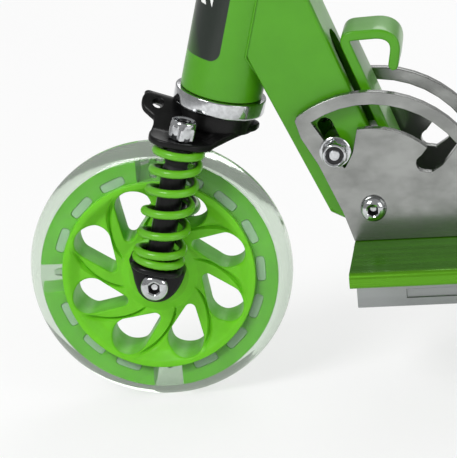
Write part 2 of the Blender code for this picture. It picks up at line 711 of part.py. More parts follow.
def make_column(steering):
    """The steerer tube with its clamp."""
    column = tube("steerer_tube", COLUMN_R, COLUMN_BORE, CROWN_BOTTOM, COLUMN_TOP, steering,
                  steps=ROUND_LARGE)
    finish(column, GREEN_PAINT)
    inner = COLUMN_R + GAP
    outer = inner + CLAMP_WALL
    top = CLAMP_BOTTOM + CLAMP_HEIGHT
    collar = tube("clamp_collar", outer, inner, CLAMP_BOTTOM, top, steering, steps=ROUND_LARGE)
    ear_low = (inner + CLAMP_WALL / 2, -CLAMP_EAR_HALF, CLAMP_BOTTOM + 0.004)
    ear_high = (outer + CLAMP_EAR_LENGTH, CLAMP_EAR_HALF, top - 0.004)
    fuse(collar, box("clamp_ears", ear_low, ear_high, steering))
    slit_low = (inner - 0.004, -CLAMP_SLIT / 2, CLAMP_BOTTOM - 0.01)
    slit_high = (outer + CLAMP_EAR_LENGTH + 0.01, CLAMP_SLIT / 2, top + 0.01)
    cut(collar, box("clamp_slit", slit_low, slit_high, steering))
    bolt_at = (outer + CLAMP_EAR_LENGTH * 0.55, 0.0, CLAMP_BOTTOM + CLAMP_HEIGHT / 2)
    cut(collar, cylinder("clamp_bolt_hole", CLAMP_BOLT_R + GAP, -0.03, 0.03, steering, bolt_at,
                         SIDE, sides=ROUND_MEDIUM))
    finish(collar, BLACK_PAINT)
    cam_at = (bolt_at[0], -(CLAMP_EAR_HALF + CAM_R + GAP), bolt_at[2])
    head = CLAMP_EAR_HALF + GAP
    bolt = [(0.0, -head - 0.005), (CLAMP_BOLT_R * 1.9, -head - 0.005), (CLAMP_BOLT_R * 1.9, -head),
            (CLAMP_BOLT_R, -head), (CLAMP_BOLT_R, -cam_at[1] - CAM_R * 0.5),
            (0.0, -cam_at[1] - CAM_R * 0.5)]
    made = turned("clamp_bolt", bolt[::-1], steering, bolt_at, SIDE, steps=ROUND_SMALL, closed=False)
    eye_half = CAM_SLOT / 2 - GAP
    fuse(made, cylinder("clamp_bolt_eye", CAM_R * 0.8, -eye_half, eye_half, steering, cam_at,
                        sides=ROUND_SMALL))
    cut(made, cylinder("clamp_bolt_eye_bore", CAM_PIN_R + GAP, -0.01, 0.01, steering, cam_at,
                       sides=ROUND_SMALL))
    finish(made, CHROME)
    return cam_at


def make_clamp_lever(hinge):
    """The quick-release lever: a cam with its cross pin, and an arm along the column."""
    half = LEVER_HEIGHT / 2
    lever = cylinder("clamp_lever", CAM_R, -half, half, hinge, sides=ROUND_MEDIUM)
    thick = LEVER_THICKNESS
    collar_r = COLUMN_R + GAP + CLAMP_WALL
    bow = collar_r + 0.0015 - (CLAMP_EAR_HALF + CAM_R + GAP)
    middle = -(collar_r + CLAMP_EAR_LENGTH * 0.55)
    arm = rounded([(0.0, -CAM_R, 0.0), (0.0, -CAM_R + thick, 0.0), (middle * 0.6, -bow, 0.012),
                   (middle * 1.4, -bow, 0.012), (-LEVER_LENGTH, -bow + 0.004, 0.002),
                   (-LEVER_LENGTH, -bow + 0.004 - thick, 0.002), (middle * 1.4, -bow - thick, 0.012),
                   (middle * 0.6, -bow - thick, 0.012)], steps=3)
    fuse(lever, prism("clamp_lever_arm", arm, -half, half, hinge))
    cut(lever, tube("clamp_lever_slot", CAM_R + 0.001, CAM_PIN_R, -CAM_SLOT / 2, CAM_SLOT / 2, hinge,
                    steps=ROUND_SMALL))
    finish(lever, BLACK_PAINT)


def make_handlebar(slide):
    """Inner tube, crossbar and grips, which telescope in the column."""
    tube_r = INNER_TUBE_R
    inner = tube("inner_tube", tube_r, tube_r - INNER_TUBE_WALL, INNER_TUBE_BOTTOM, BAR_HEIGHT,
                 slide, steps=ROUND_LARGE)
    bar_at = (0.0, 0.0, BAR_HEIGHT)
    cut(inner, cylinder("inner_tube_saddle", BAR_R + GAP, -0.03, 0.03, slide, bar_at, SIDE,
                        sides=ROUND_LARGE))
    finish(inner, CHROME)
    finish(tube("crossbar", BAR_R, BAR_R - BAR_WALL, -BAR_HALF, BAR_HALF, slide, bar_at, SIDE,
                steps=ROUND_MEDIUM), GREEN_PAINT)
    for side, name in ((1, "left"), (-1, "right")):
        end = BAR_HALF + GAP
        bore = BAR_R + GAP
        start = end + GRIP_END - GRIP_LENGTH
        profile = [(0.0, end + GRIP_END), (GRIP_R * 0.8, end + GRIP_END), (GRIP_R, end),
                   (GRIP_R, start + 0.004), (GRIP_FLANGE_R, start + 0.003), (GRIP_FLANGE_R, start),
                   (bore, start), (bore, end), (0.0, end)]
        turn = SIDE if side > 0 else (-math.pi / 2, 0.0, 0.0)
        finish(turned(f"grip_{name}", profile, slide, bar_at, turn, steps=ROUND_MEDIUM, closed=False),
               BLACK_RUBBER)


def make_head(steering_static):
    """Head tube and its two cups, which belong to the beam."""
    inner = HEAD_TUBE_R - HEAD_TUBE_WALL
    finish(tube("head_tube", HEAD_TUBE_R, inner, HEAD_TUBE_BOTTOM, HEAD_TUBE_TOP, steering_static,
                steps=ROUND_LARGE), GREEN_PAINT)
    bore = COLUMN_R + GAP
    skirt = inner - GAP
    low = CROWN_BOSS_TOP + GAP
    rim = HEAD_TUBE_BOTTOM - GAP
    lower = [(bore, rim + CUP_SKIRT), (skirt, rim + CUP_SKIRT), (skirt, rim), (CUP_R, rim),
             (CUP_R, low + 0.0012), (CUP_R - 0.0010, low), (bore, low)]
    finish(turned("lower_headset_cup", lower, steering_static, steps=ROUND_LARGE), CHROME)
    seat = HEAD_TUBE_TOP + GAP
    upper = [(bore, seat + UPPER_CUP_HEIGHT), (CUP_R - 0.005, seat + UPPER_CUP_HEIGHT),
             (CUP_R, seat + UPPER_CUP_HEIGHT * 0.55), (CUP_R, seat), (skirt, seat),
             (skirt, seat - CUP_SKIRT), (bore, seat - CUP_SKIRT)]
    finish(turned("upper_headset_cup", upper, steering_static, steps=ROUND_LARGE), CHROME)


def along_line(first, second, height):
    """The point at a height on the line through two side-view points."""
    share = (height - first[1]) / (second[1] - first[1])
    return (first[0] + (second[0] - first[0]) * share, height)


def make_beam(frame):
    """The green box beam, hollow, with the slots for the hook's arm and the lock pin."""
    tail_low = PIVOT_UP - 0.0125
    head = steer(0.004, 0.0)
    up = (math.sin(HEAD_TILT), math.cos(HEAD_TILT))
    front_top = along_line(BEAM_FRONT_TOP, BEAM_FRONT_LOW, BEAM_FRONT_TOP[1] + 0.036)
    rear_top = along_line(BEAM_REAR_TOP, BEAM_REAR_LOW, BEAM_REAR_TOP[1] + 0.052)
    rear_low = along_line(BEAM_REAR_TOP, BEAM_REAR_LOW, tail_low)
    outline = [front_top, BEAM_FRONT_LOW, BEAM_FRONT_CUT, (rear_low[0] - 0.014, tail_low),
               (rear_low[0] - 0.006, tail_low + 0.002), along_line(BEAM_REAR_TOP, BEAM_REAR_LOW,
                                                                   tail_low + 0.012), rear_top]
    beam = prism("down_tube", outline, -BEAM_HALF, BEAM_HALF, frame, turn=SIDE)
    bevel = beam.modifiers.new("edges", "BEVEL")
    bevel.width = 0.0025
    bevel.segments = 2
    bevel.limit_method = "ANGLE"
    bevel.angle_limit = math.radians(50.0)
    wall = BEAM_WALL
    lean = math.atan2(BEAM_FRONT_LOW[0] - BEAM_FRONT_TOP[0], BEAM_FRONT_TOP[1] - BEAM_FRONT_LOW[1])
    inset = wall / math.cos(lean)
    inner_half = BEAM_HALF - wall
    high = rear_top[1] + 0.03
    low = tail_low - 0.02
    hollow = [(along_line(BEAM_FRONT_TOP, BEAM_FRONT_LOW, high)[0] + inset, high),
              (along_line(BEAM_FRONT_TOP, BEAM_FRONT_LOW, low)[0] + inset, low),
              (along_line(BEAM_REAR_TOP, BEAM_REAR_LOW, low)[0] - inset, low),
              (along_line(BEAM_REAR_TOP, BEAM_REAR_LOW, high)[0] - inset, high)]
    cut(beam, prism("down_tube_hollow", hollow, -inner_half, inner_half, frame, turn=SIDE))
    sleeve = cylinder("down_tube_sleeve", PIVOT_SLEEVE_R, -BEAM_HALF + 0.001, BEAM_HALF - 0.001, frame,
                      (PIVOT_BACK, 0.0, PIVOT_UP), SIDE, sides=ROUND_MEDIUM)
    fuse(beam, sleeve)
    cut(beam, cylinder("down_tube_pivot", PIVOT_R + GAP, -0.05, 0.05, frame,
                       (PIVOT_BACK, 0.0, PIVOT_UP), SIDE, sides=ROUND_MEDIUM))
    slide = (-math.sin(LOCK_LEAN), math.cos(LOCK_LEAN))
    seat = (PIVOT_BACK + LOCK_R * math.cos(LOCK_ANGLE), PIVOT_UP + LOCK_R * math.sin(LOCK_ANGLE))
    lifted = (seat[0] + LOCK_LIFT * slide[0], seat[1] + LOCK_LIFT * slide[1])
    way = math.atan2(slide[1], slide[0])
    slot_r = LOCK_PIN_R + GAP
    slot = arc(slot_r, way - math.pi / 2, way + math.pi / 2, 6, lifted)
    slot += arc(slot_r, way + math.pi / 2, way + 1.5 * math.pi, 6, seat)
    cut(beam, prism("down_tube_pin_slot", slot, -0.05, 0.05, frame, turn=SIDE))
    rear = along_line(BEAM_REAR_TOP, BEAM_REAR_LOW, HOOK_SLOT_TOP)
    tilt = math.atan2(BEAM_REAR_LOW[0] - BEAM_REAR_TOP[0], BEAM_REAR_TOP[1] - BEAM_REAR_LOW[1])
    length = (HOOK_SLOT_TOP - HOOK_SLOT_BOTTOM) / math.cos(tilt)
    window = [(-length, -HOOK_SLOT_HALF), (-HOOK_SLOT_HALF, -HOOK_SLOT_HALF)]
    window += arc(HOOK_SLOT_HALF, -math.pi / 3, math.pi / 3, 4, (-HOOK_SLOT_HALF, 0.0))
    window += [(-HOOK_SLOT_HALF, HOOK_SLOT_HALF), (-length, HOOK_SLOT_HALF)]
    cut(beam, prism("down_tube_hook_slot", window, -0.006, 0.006, frame, (rear[0], 0.0, rear[1]),
                    (0.0, math.pi / 2 - tilt + math.pi, 0.0)))
    cut(beam, cylinder("down_tube_head_seat", HEAD_TUBE_R + GAP, 0.0, 0.4, frame,
                       (head[0] - 0.004 * math.cos(HEAD_TILT), 0.0,
                        head[1] + 0.004 * math.sin(HEAD_TILT)), (0.0, HEAD_TILT, 0.0), sides=ROUND_LARGE))
    finish(beam, GREEN_PAINT)
    return seat, slide


def flanged_nut(name, base, parent, at, turn):
    """A flanged locking nut on its bolt, whose end shows in the collar's recess."""
    def disc(label, radius, low, high, sides=ROUND_SMALL):
        return cylinder(f"{name}{label}", radius, base + low, base + high, parent, at, turn, sides)

    made = disc("", LOCK_NUT_R, 0.0, LOCK_NUT_FLANGE, ROUND_MEDIUM)
    fuse(made, disc("_hexagon", NUT_FLATS / math.sqrt(3.0), LOCK_NUT_FLANGE / 2, NUT_HEIGHT, 6),
         disc("_collar", NUT_FLATS * 0.47, NUT_HEIGHT / 2, LOCK_NUT_HEIGHT))
    cut(made, disc("_recess", NUT_FLATS * 0.34, NUT_HEIGHT, LOCK_NUT_HEIGHT * 2))
    fuse(made, disc("_end", LOCK_PIN_R * 0.85, LOCK_NUT_FLANGE, LOCK_NUT_HEIGHT - LOCK_NUT_RECESS, 8))
    finish(made, CHROME)


def make_lock(hook_slide, seat):
    """The pull hook with its arm, the lock pin and the two flanged nuts."""
    rear_low = along_line(BEAM_REAR_TOP, BEAM_REAR_LOW, seat[1] - 0.006)
    off = (0.0041 + HOOK_THICKNESS / 2) / math.cos(math.radians(20.2))
    foot = (rear_low[0] + off, seat[1] - 0.006)
    top = along_line(BEAM_REAR_TOP, BEAM_REAR_LOW, HOOK_BEND_UP)
    path = rounded([(foot[0], foot[1], 0.0), (top[0] + off, top[1], 0.0035),
                    (*HOOK_CREST, 0.0080), (*HOOK_TIP, 0.0)], steps=5)
    mesh = bpy.data.meshes.new("lock_hook")
    sheet = bmesh.new()
    rows = [[sheet.verts.new((x, y, z)) for x, y in path] for z in (-HOOK_HALF, HOOK_HALF)]
    for i in range(len(path) - 1):
        sheet.faces.new((rows[0][i], rows[0][i + 1], rows[1][i + 1], rows[1][i]))
    sheet.to_mesh(mesh)
    sheet.free()
    hook = add_object("lock_hook", mesh, hook_slide, turn=SIDE)
    shell = hook.modifiers.new("wall", "SOLIDIFY")
    shell.thickness = HOOK_THICKNESS
    shell.offset = 0.0
    shell.use_even_offset = True
    boss = HOOK_ARM_HEIGHT / 2 + 0.0025
    arm = [(foot[0], seat[1] - 0.004), (foot[0] - 0.002, seat[1] + HOOK_ARM_HEIGHT - 0.004)]
    arm += arc(boss, math.pi / 2, 1.5 * math.pi, 8, seat)
    fuse(hook, prism("lock_hook_arm", arm, -HOOK_ARM_HALF, HOOK_ARM_HALF, hook_slide, turn=SIDE))
    pin_at = (seat[0], 0.0, seat[1])
    cut(hook, cylinder("lock_hook_bore", LOCK_PIN_R + GAP, -0.03, 0.03, hook_slide, pin_at, SIDE,
                       sides=ROUND_MEDIUM))
    finish(hook, GREEN_PAINT)
    pin_half = PLATE_INNER - GAP
    finish(cylinder("lock_pin", LOCK_PIN_R, -pin_half, pin_half, hook_slide, pin_at, SIDE,
                    sides=ROUND_MEDIUM), STEEL)
    for name, turn in (("left", SIDE), ("right", (-math.pi / 2, 0.0, 0.0))):
        flanged_nut(f"lock_nut_{name}", PLATE_OUTER + GAP, hook_slide, pin_at, turn)
    return boss


def make_lock_spring(frame, seat, slide, boss):
    """The compression spring inside the beam that seats the lock pin, and its top stop."""
    start = boss + GAP + LOCK_SPRING_WIRE_R
    low = (seat[0] + slide[0] * start, 0.0, seat[1] + slide[1] * start)
    pitch = LOCK_SPRING_LENGTH / LOCK_SPRING_TURNS
    points = coil(LOCK_SPRING_R, [(LOCK_SPRING_TURNS, pitch)], COIL_POINTS)
    made = wire("lock_spring", points, LOCK_SPRING_WIRE_R, frame, low, (0.0, -LOCK_LEAN, 0.0))
    made.data.materials.append(STEEL)
    print("lock_spring least gap to itself:",
          round(least_gap(points, COIL_POINTS, LOCK_SPRING_WIRE_R) * 1000, 2), "mm")
    reach = start + LOCK_SPRING_LENGTH + LOCK_SPRING_WIRE_R + GAP
    stop_at = (seat[0] + slide[0] * reach, 0.0, seat[1] + slide[1] * reach)
    stop = box("down_tube_spring_stop", (-0.008, -BEAM_HALF + 0.001, 0.0),
               (0.008, BEAM_HALF - 0.001, 0.003), frame, stop_at, (0.0, -LOCK_LEAN, 0.0))
    fuse(bpy.data.objects["down_tube"], stop)


def plate_outline():
    """Side view of a folding plate about the pivot: quadrant above, foot on the deck below."""
    foot = DECK_TOP + GAP - PIVOT_UP
    front = [(-0.0363, 0.0410), (-0.0278, 0.0255), (-0.0163, -0.0023), (-0.0114, foot)]
    top = arc(PLATE_R, math.radians(20.0), math.radians(125.5), 15)
    rear_foot = (PLATE_R + 0.006, foot)
    return [rear_foot] + top + [(-0.0389, 0.0506)] + front


def slot_outline():
    """The arc slot with its wedge-shaped lead into each lock notch, about the pivot."""
    left_wall = math.radians(121.5)
    folded = LOCK_ANGLE - FOLD_ANGLE
    outline = arc(SLOT_OUTER_R, left_wall, folded - math.radians(4.0), 10)
    outline += [polar(SLOT_INNER_R, folded - math.radians(9.0)),
                polar(LOCK_R, folded - math.radians(9.5)),
                polar(LOCK_R - LOCK_PIN_R, folded - math.radians(3.0)),
                polar(LOCK_R - LOCK_PIN_R, folded + math.radians(2.0)),
                polar(LOCK_R, folded + math.radians(6.0))]
    outline += arc(SLOT_INNER_R, folded + math.radians(7.0), math.radians(97.6), 8)
    outline += [polar(0.0328, math.radians(106.0)), polar(0.0273, math.radians(119.5)),
                polar(0.0273, left_wall)]
    return outline


def make_fold_plates(frame):
    """The two steel quadrants, the pivot bolt and its nut, and the washers of the beam."""
    pivot_at = (PIVOT_BACK, 0.0, PIVOT_UP)
    notch_r = LOCK_PIN_R + 0.0006
    for side, name in ((1, "left"), (-1, "right")):
        low, high = sorted((side * PLATE_INNER, side * PLATE_OUTER))
        plate = prism(f"fold_plate_{name}", plate_outline(), low, high, frame, pivot_at, SIDE)
        cut(plate, prism(f"fold_plate_{name}_slot", slot_outline(), low - 0.001, high + 0.001, frame,
                         pivot_at, SIDE))
        for index, angle in enumerate((LOCK_ANGLE, LOCK_ANGLE - FOLD_ANGLE)):
            x, z = polar(LOCK_R, angle, (PIVOT_BACK, PIVOT_UP))
            cut(plate, cylinder(f"fold_plate_{name}_notch_{index}", notch_r, low - 0.001,
                                high + 0.001, frame, (x, 0.0, z), SIDE, sides=ROUND_SMALL))
        cut(plate, cylinder(f"fold_plate_{name}_bore", PIVOT_R + GAP, low - 0.001, high + 0.001,
                            frame, pivot_at, SIDE, sides=ROUND_SMALL))
        finish(plate, STEEL)
    head_at = (PIVOT_BACK, -(PLATE_OUTER + GAP), PIVOT_UP)
    length = 2 * (PLATE_OUTER + GAP) + NUT_HEIGHT + 0.0015
    button_bolt("fold_pivot_bolt", PIVOT_R, length, PIVOT_HEAD_R, PIVOT_HEAD_HEIGHT, frame, head_at,
                SIDE, CHROME)
    nut_at = (PIVOT_BACK, PLATE_OUTER + GAP, PIVOT_UP)
    hex_nut("fold_pivot_nut", NUT_FLATS, NUT_HEIGHT, PIVOT_R + GAP, frame, nut_at,
            (-math.pi / 2, 0.0, 0.0), CHROME)


def make_pivot_washers(frame):
    """Washers between the beam and the folding plates."""
    pivot_at = (PIVOT_BACK, 0.0, PIVOT_UP)
    for side, name in ((1, "left"), (-1, "right")):
        low, high = sorted((side * (BEAM_HALF + GAP), side * (PLATE_INNER - GAP)))
        finish(tube(f"pivot_washer_{name}", PIVOT_SLEEVE_R, PIVOT_R + GAP, low, high, frame, pivot_at,
                    SIDE, steps=ROUND_SMALL), STEEL)


def deck_top(across):
    """Height of the deck's top at a distance from the middle."""
    if across <= DECK_FLAT_HALF:
        return DECK_TOP
    share = (across - DECK_FLAT_HALF) / (DECK_HALF - DECK_FLAT_HALF)
    return DECK_TOP + (DECK_EDGE_TOP - DECK_TOP) * share


def mirrored(half):
    """A whole cross-section from the half at positive distances."""
    return half + [(-x, *rest) for x, *rest in reversed(half)]


def make_deck(frame):
    """The wide deck with rolled edges, and its anti-slip sheet."""
    edge_in = DECK_HALF - DECK_EDGE_THICKNESS
    under = [(DECK_FLAT_HALF, DECK_TOP - DECK_THICKNESS, 0.0),
             (edge_in, deck_top(edge_in) - DECK_THICKNESS, 0.001),
             (edge_in, DECK_EDGE_BOTTOM, 0.0018), (DECK_HALF, DECK_EDGE_BOTTOM, 0.0020),
             (DECK_HALF, DECK_EDGE_TOP, 0.0030), (DECK_FLAT_HALF, DECK_TOP, 0.0)]
    section = rounded(mirrored(under), steps=3)
    deck = prism("deck", section, DECK_FRONT, DECK_REAR, frame, turn=ACROSS)
    plan = rounded([(DECK_FRONT - 0.01, -DECK_HALF - 0.01, 0.0), (DECK_REAR, -DECK_HALF, DECK_TAIL_CORNER),
                    (DECK_REAR, DECK_HALF, DECK_TAIL_CORNER), (DECK_FRONT - 0.01, DECK_HALF + 0.01, 0.0)],
                   steps=6)
    use_tool(deck, prism("deck_plan", plan, DECK_EDGE_BOTTOM - 0.01, DECK_TOP + 0.01, frame),
             "INTERSECT")
    finish(deck, GREEN_ALUMINIUM)
    lift = GAP + MAT_THICKNESS
    mat = [(MAT_HALF, deck_top(MAT_HALF) + GAP), (MAT_HALF, deck_top(MAT_HALF) + lift),
           (DECK_FLAT_HALF, DECK_TOP + lift)]
    mat = [(DECK_FLAT_HALF, DECK_TOP + GAP)] + mat
    sheet = prism("grip_mat", mirrored(mat), MAT_FRONT, MAT_REAR, frame, turn=ACROSS)
    finish(sheet, BLACK_RUBBER)


def make_under_frame(frame):
    """The light grey channel under the deck, open behind, with a shallow groove on each side."""
    top = DECK_TOP - DECK_THICKNESS - GAP
    channel = box("under_frame", (CHANNEL_FRONT, -CHANNEL_HALF, CHANNEL_BOTTOM),
                  (DECK_REAR, CHANNEL_HALF, top), frame)
    wall = CHANNEL_WALL
    cut(channel, box("under_frame_hollow",
                     (CHANNEL_FRONT + wall, -CHANNEL_HALF + wall, CHANNEL_BOTTOM + wall),
                     (DECK_REAR + 0.01, CHANNEL_HALF - wall, top - wall), frame))
    for side in (-1, 1):
        low, high = sorted((side * (CHANNEL_HALF - CHANNEL_GROOVE_DEPTH), side * (CHANNEL_HALF + 0.01)))
        cut(channel, box(f"under_frame_groove_{side}", (CHANNEL_GROOVE_FRONT, low, -0.0150),
                         (DECK_REAR - 0.020, high, -0.0100), frame))
    finish(channel, BARE_ALUMINIUM)


def make_rear(frame):
    """Bracket in the channel's end, rear axle with its nuts, and the brake's hinge pin."""
    half = CHANNEL_HALF - CHANNEL_WALL - GAP
    low = CHANNEL_BOTTOM + CHANNEL_WALL + GAP
    high = DECK_TOP - DECK_THICKNESS - GAP - CHANNEL_WALL - GAP
    axle_up = REAR_R - FRONT_R
    pin = (BRAKE_PIN_BACK, BRAKE_PIN_UP)
    side_view = [(BRACKET_FRONT, low), (BRACKET_FRONT, high), (DECK_REAR, high)]
    side_view += arc(BRAKE_EAR_R, math.pi, 0.0, 8, pin)
    cheek_r = BRACKET_BOSS_R - 0.0015
    side_view += [(WHEELBASE - 0.016, axle_up + cheek_r)]
    side_view += arc(cheek_r, math.pi / 2, -math.pi / 2, 8, (WHEELBASE, axle_up))
    side_view += [(DECK_REAR + 0.002, low)]
    bracket = prism("rear_bracket", side_view, -half, half, frame, turn=SIDE)
    inner = half - BRACKET_WALL
    floor = low + BRACKET_WALL
    cut(bracket, box("rear_bracket_hollow", (BRACKET_FRONT - 0.01, -inner, floor),
                     (WHEELBASE - 0.020, inner, BRAKE_PIN_UP + 0.02), frame))
    boss_half = REAR_TRACK_HALF - REAR_HUB_HALF - GAP
    axle_at = (WHEELBASE, 0.0, axle_up)
    fuse(bracket, cylinder("rear_bracket_boss", BRACKET_BOSS_R, -boss_half, boss_half, frame, axle_at,
                           SIDE, sides=ROUND_LARGE))
    cut(bracket, cylinder("rear_bracket_bore", AXLE_R + GAP, -0.1, 0.1, frame, axle_at, SIDE,
                          sides=ROUND_MEDIUM))
    cut(bracket, cylinder("rear_bracket_pin_bore", BRAKE_PIN_R + GAP, -0.1, 0.1, frame,
                          (BRAKE_PIN_BACK, 0.0, BRAKE_PIN_UP), SIDE, sides=ROUND_MEDIUM))
    finish(bracket, BLACK_PAINT)
    outside = REAR_TRACK_HALF + REAR_HUB_HALF + GAP
    end = outside + NUT_HEIGHT + 0.001
    finish(cylinder("rear_axle", AXLE_R, -end, end, frame, axle_at, SIDE, sides=ROUND_MEDIUM), STEEL)
    for name, side, turn in (("left", -1, SIDE), ("right", 1, (-math.pi / 2, 0.0, 0.0))):
        hex_nut(f"rear_axle_nut_{name}", NUT_FLATS, NUT_HEIGHT, AXLE_R + GAP, frame,
                (WHEELBASE, side * outside, axle_up), turn, CHROME)
    pin_end = half + GAP
    pin_profile = [(0.0, pin_end + 0.0018), (BRAKE_PIN_R * 1.6, pin_end + 0.0012),
                   (BRAKE_PIN_R * 1.7, pin_end), (BRAKE_PIN_R, pin_end),
                   (BRAKE_PIN_R, -pin_end), (BRAKE_PIN_R * 1.7, -pin_end),
                   (BRAKE_PIN_R * 1.6, -pin_end - 0.0012), (0.0, -pin_end - 0.0018)]
    finish(turned("brake_pin", pin_profile, frame, (BRAKE_PIN_BACK, 0.0, BRAKE_PIN_UP), SIDE,
                  steps=ROUND_SMALL, closed=False), STEEL)
    return inner


def make_rear_wheels(frame):
    """A core, a tyre and two bearings for each rear wheel."""
    for name, side in (("left", -1), ("right", 1)):
        hub = datum(f"rear_hub_{name}", frame,
                    (WHEELBASE, side * REAR_TRACK_HALF, REAR_R - FRONT_R))
        wheel_core(f"rear_core_{name}", REAR_WHEEL, hub)
        wheel_tyre(f"rear_tyre_{name}", REAR_WHEEL, hub)
        middle = REAR_HUB_HALF - GAP - BEARING_WIDTH / 2
        outwards = -side
        ball_bearing(f"rear_bearing_{name}_outer", outwards * middle, hub)
        ball_bearing(f"rear_bearing_{name}_inner", -outwards * middle, hub)


def make_brake(hinge, bracket_inner):
    """The foot brake: a curved fender over both rear wheels, on a knuckle round the pin."""
    back = WHEELBASE - BRAKE_PIN_BACK
    down = REAR_R - FRONT_R - BRAKE_PIN_UP
    inner_r = REAR_R + FENDER_GAP
    outer_r = inner_r + FENDER_THICKNESS
    shell = arc(inner_r, FENDER_FRONT_ANGLE, FENDER_REAR_ANGLE, 12, (back, down))
    shell += arc(outer_r, FENDER_REAR_ANGLE, FENDER_FRONT_ANGLE, 12, (back, down))
    fender = prism("brake_fender", shell, -FENDER_HALF, FENDER_HALF, hinge, turn=SIDE)
    knuckle_half = bracket_inner - GAP
    knuckle_r = BRAKE_EAR_R - 0.0010
    arm_end = polar(inner_r + FENDER_THICKNESS / 2, FENDER_FRONT_ANGLE - 0.05, (back, down))
    thick = FENDER_THICKNESS
    arm = [(0.0, knuckle_r - thick), (0.0, knuckle_r), (arm_end[0], arm_end[1] + thick * 0.4),
           (arm_end[0] + 0.003, arm_end[1] - thick * 0.5)]
    fuse(fender, cylinder("brake_fender_knuckle", knuckle_r, -knuckle_half, knuckle_half, hinge,
                          turn=SIDE, sides=ROUND_MEDIUM))
    fuse(fender, prism("brake_fender_arm", arm, -knuckle_half, knuckle_half, hinge, turn=SIDE))
    gap_half = 0.0050
    cut(fender, box("brake_fender_spring_gap", (-knuckle_r * 1.5, -gap_half, -knuckle_r * 1.5),
                    (knuckle_r * 1.35, gap_half, knuckle_r * 1.5), hinge))
    cut(fender, cylinder("brake_fender_bore", BRAKE_PIN_R + GAP, -FENDER_HALF, FENDER_HALF, hinge, turn=SIDE,
                         sides=ROUND_MEDIUM))
    finish(fender, BLACK_PAINT)
    return gap_half


def make_brake_spring(frame, gap_half):
    """The torsion spring round the brake pin, in the gap between the knuckles."""
    radius = BRAKE_PIN_R + GAP + BRAKE_SPRING_WIRE_R + 0.0004
    room = 2 * (gap_half - BRAKE_SPRING_WIRE_R - GAP)
    pitch = room / BRAKE_SPRING_TURNS
    points = coil(radius, [(BRAKE_SPRING_TURNS, pitch)], COIL_POINTS)
    made = wire("brake_spring", points, BRAKE_SPRING_WIRE_R, frame,
                (BRAKE_PIN_BACK, room / 2, BRAKE_PIN_UP), SIDE)
    made.data.materials.append(STEEL)
    print("brake_spring least gap to itself:",
          round(least_gap(points, COIL_POINTS, BRAKE_SPRING_WIRE_R) * 1000, 2), "mm")


def build():
    """Make every piece, group by group."""
    frame = datum("frame_from_front_axle", None, AXLE)
    make_deck(frame)
    make_under_frame(frame)
    make_fold_plates(frame)
    bracket_inner = make_rear(frame)
    make_rear_wheels(frame)
    brake = datum("brake_hinge", frame, (BRAKE_PIN_BACK, 0.0, BRAKE_PIN_UP))
    make_brake_spring(frame, make_brake(brake, bracket_inner))

    beam = datum("beam_pivot", None, PIVOT)
    from_axle = datum("beam_from_front_axle", beam, AXLE - PIVOT)
    make_pivot_washers(from_axle)
    seat, slide = make_beam(from_axle)
    hook = datum("lock_slide", from_axle, (0.0, 0.0, 0.0))
    boss = make_lock(hook, seat)
    make_lock_spring(from_axle, seat, slide, boss)
    head = datum("head_tube_axis", beam, STEERING - PIVOT, (0.0, HEAD_TILT, 0.0))
    make_head(head)

    steering = datum("steering_axis", head, (0.0, 0.0, 0.0))
    make_crown(steering)
    make_springs(steering)
    cam_at = make_column(steering)
    make_clamp_lever(datum("clamp_cam", steering, cam_at))
    make_handlebar(datum("handlebar_slide", steering, (0.0, 0.0, 0.0)))
    fork = datum("fork_slide", steering, (0.0, 0.0, 0.0))
    make_fork_lower(fork)
    make_front_wheel(datum("front_hub", fork, (-FORK_RAKE, 0.0, 0.0), (0.0, -HEAD_TILT, 0.0)))


build()
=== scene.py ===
"""Kick scooter finish: fine surfaces, paint, plastic and chrome over the scooter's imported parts.

Lengths are metres in the parts' own frame: +X to the rear, +Y to the rider's right, +Z up, with
the origin on the ground in the middle of the scooter.
"""
import json
import math

import bmesh
import bpy
import mathutils
import numpy as np
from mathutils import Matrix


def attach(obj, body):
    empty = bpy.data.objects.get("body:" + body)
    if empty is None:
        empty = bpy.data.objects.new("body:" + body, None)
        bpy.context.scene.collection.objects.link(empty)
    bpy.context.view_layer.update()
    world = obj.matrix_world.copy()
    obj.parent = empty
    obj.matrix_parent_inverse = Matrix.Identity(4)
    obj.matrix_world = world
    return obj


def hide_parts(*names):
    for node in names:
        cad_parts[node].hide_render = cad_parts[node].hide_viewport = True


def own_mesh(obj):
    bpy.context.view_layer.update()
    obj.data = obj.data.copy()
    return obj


bl_info = {
    "name": "Kick scooter finish",
    "version": (1, 0, 0),
    "blender": (4, 5, 0),
    "location": "View3D > Sidebar > Scooter",
    "description": "Fine surfaces and finishes for a folding three-wheel kick scooter",
    "category": "Object",
}

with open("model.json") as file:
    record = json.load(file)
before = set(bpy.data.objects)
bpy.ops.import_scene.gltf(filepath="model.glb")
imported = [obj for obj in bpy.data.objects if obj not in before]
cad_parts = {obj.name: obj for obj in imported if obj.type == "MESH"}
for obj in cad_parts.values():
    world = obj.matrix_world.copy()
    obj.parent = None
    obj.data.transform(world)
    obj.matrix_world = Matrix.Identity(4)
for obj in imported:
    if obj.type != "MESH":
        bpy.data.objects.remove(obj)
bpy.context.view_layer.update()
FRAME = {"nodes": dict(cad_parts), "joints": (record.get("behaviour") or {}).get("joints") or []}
JOINTS = {joint["name"]: joint for joint in FRAME["joints"]}


def leaning(up):
    """Local axes, as columns, whose z is a direction in the scooter's middle plane."""
    return np.array(((up[2], 0.0, up[0]), (0.0, 1.0, 0.0), (-up[0], 0.0, up[2])))


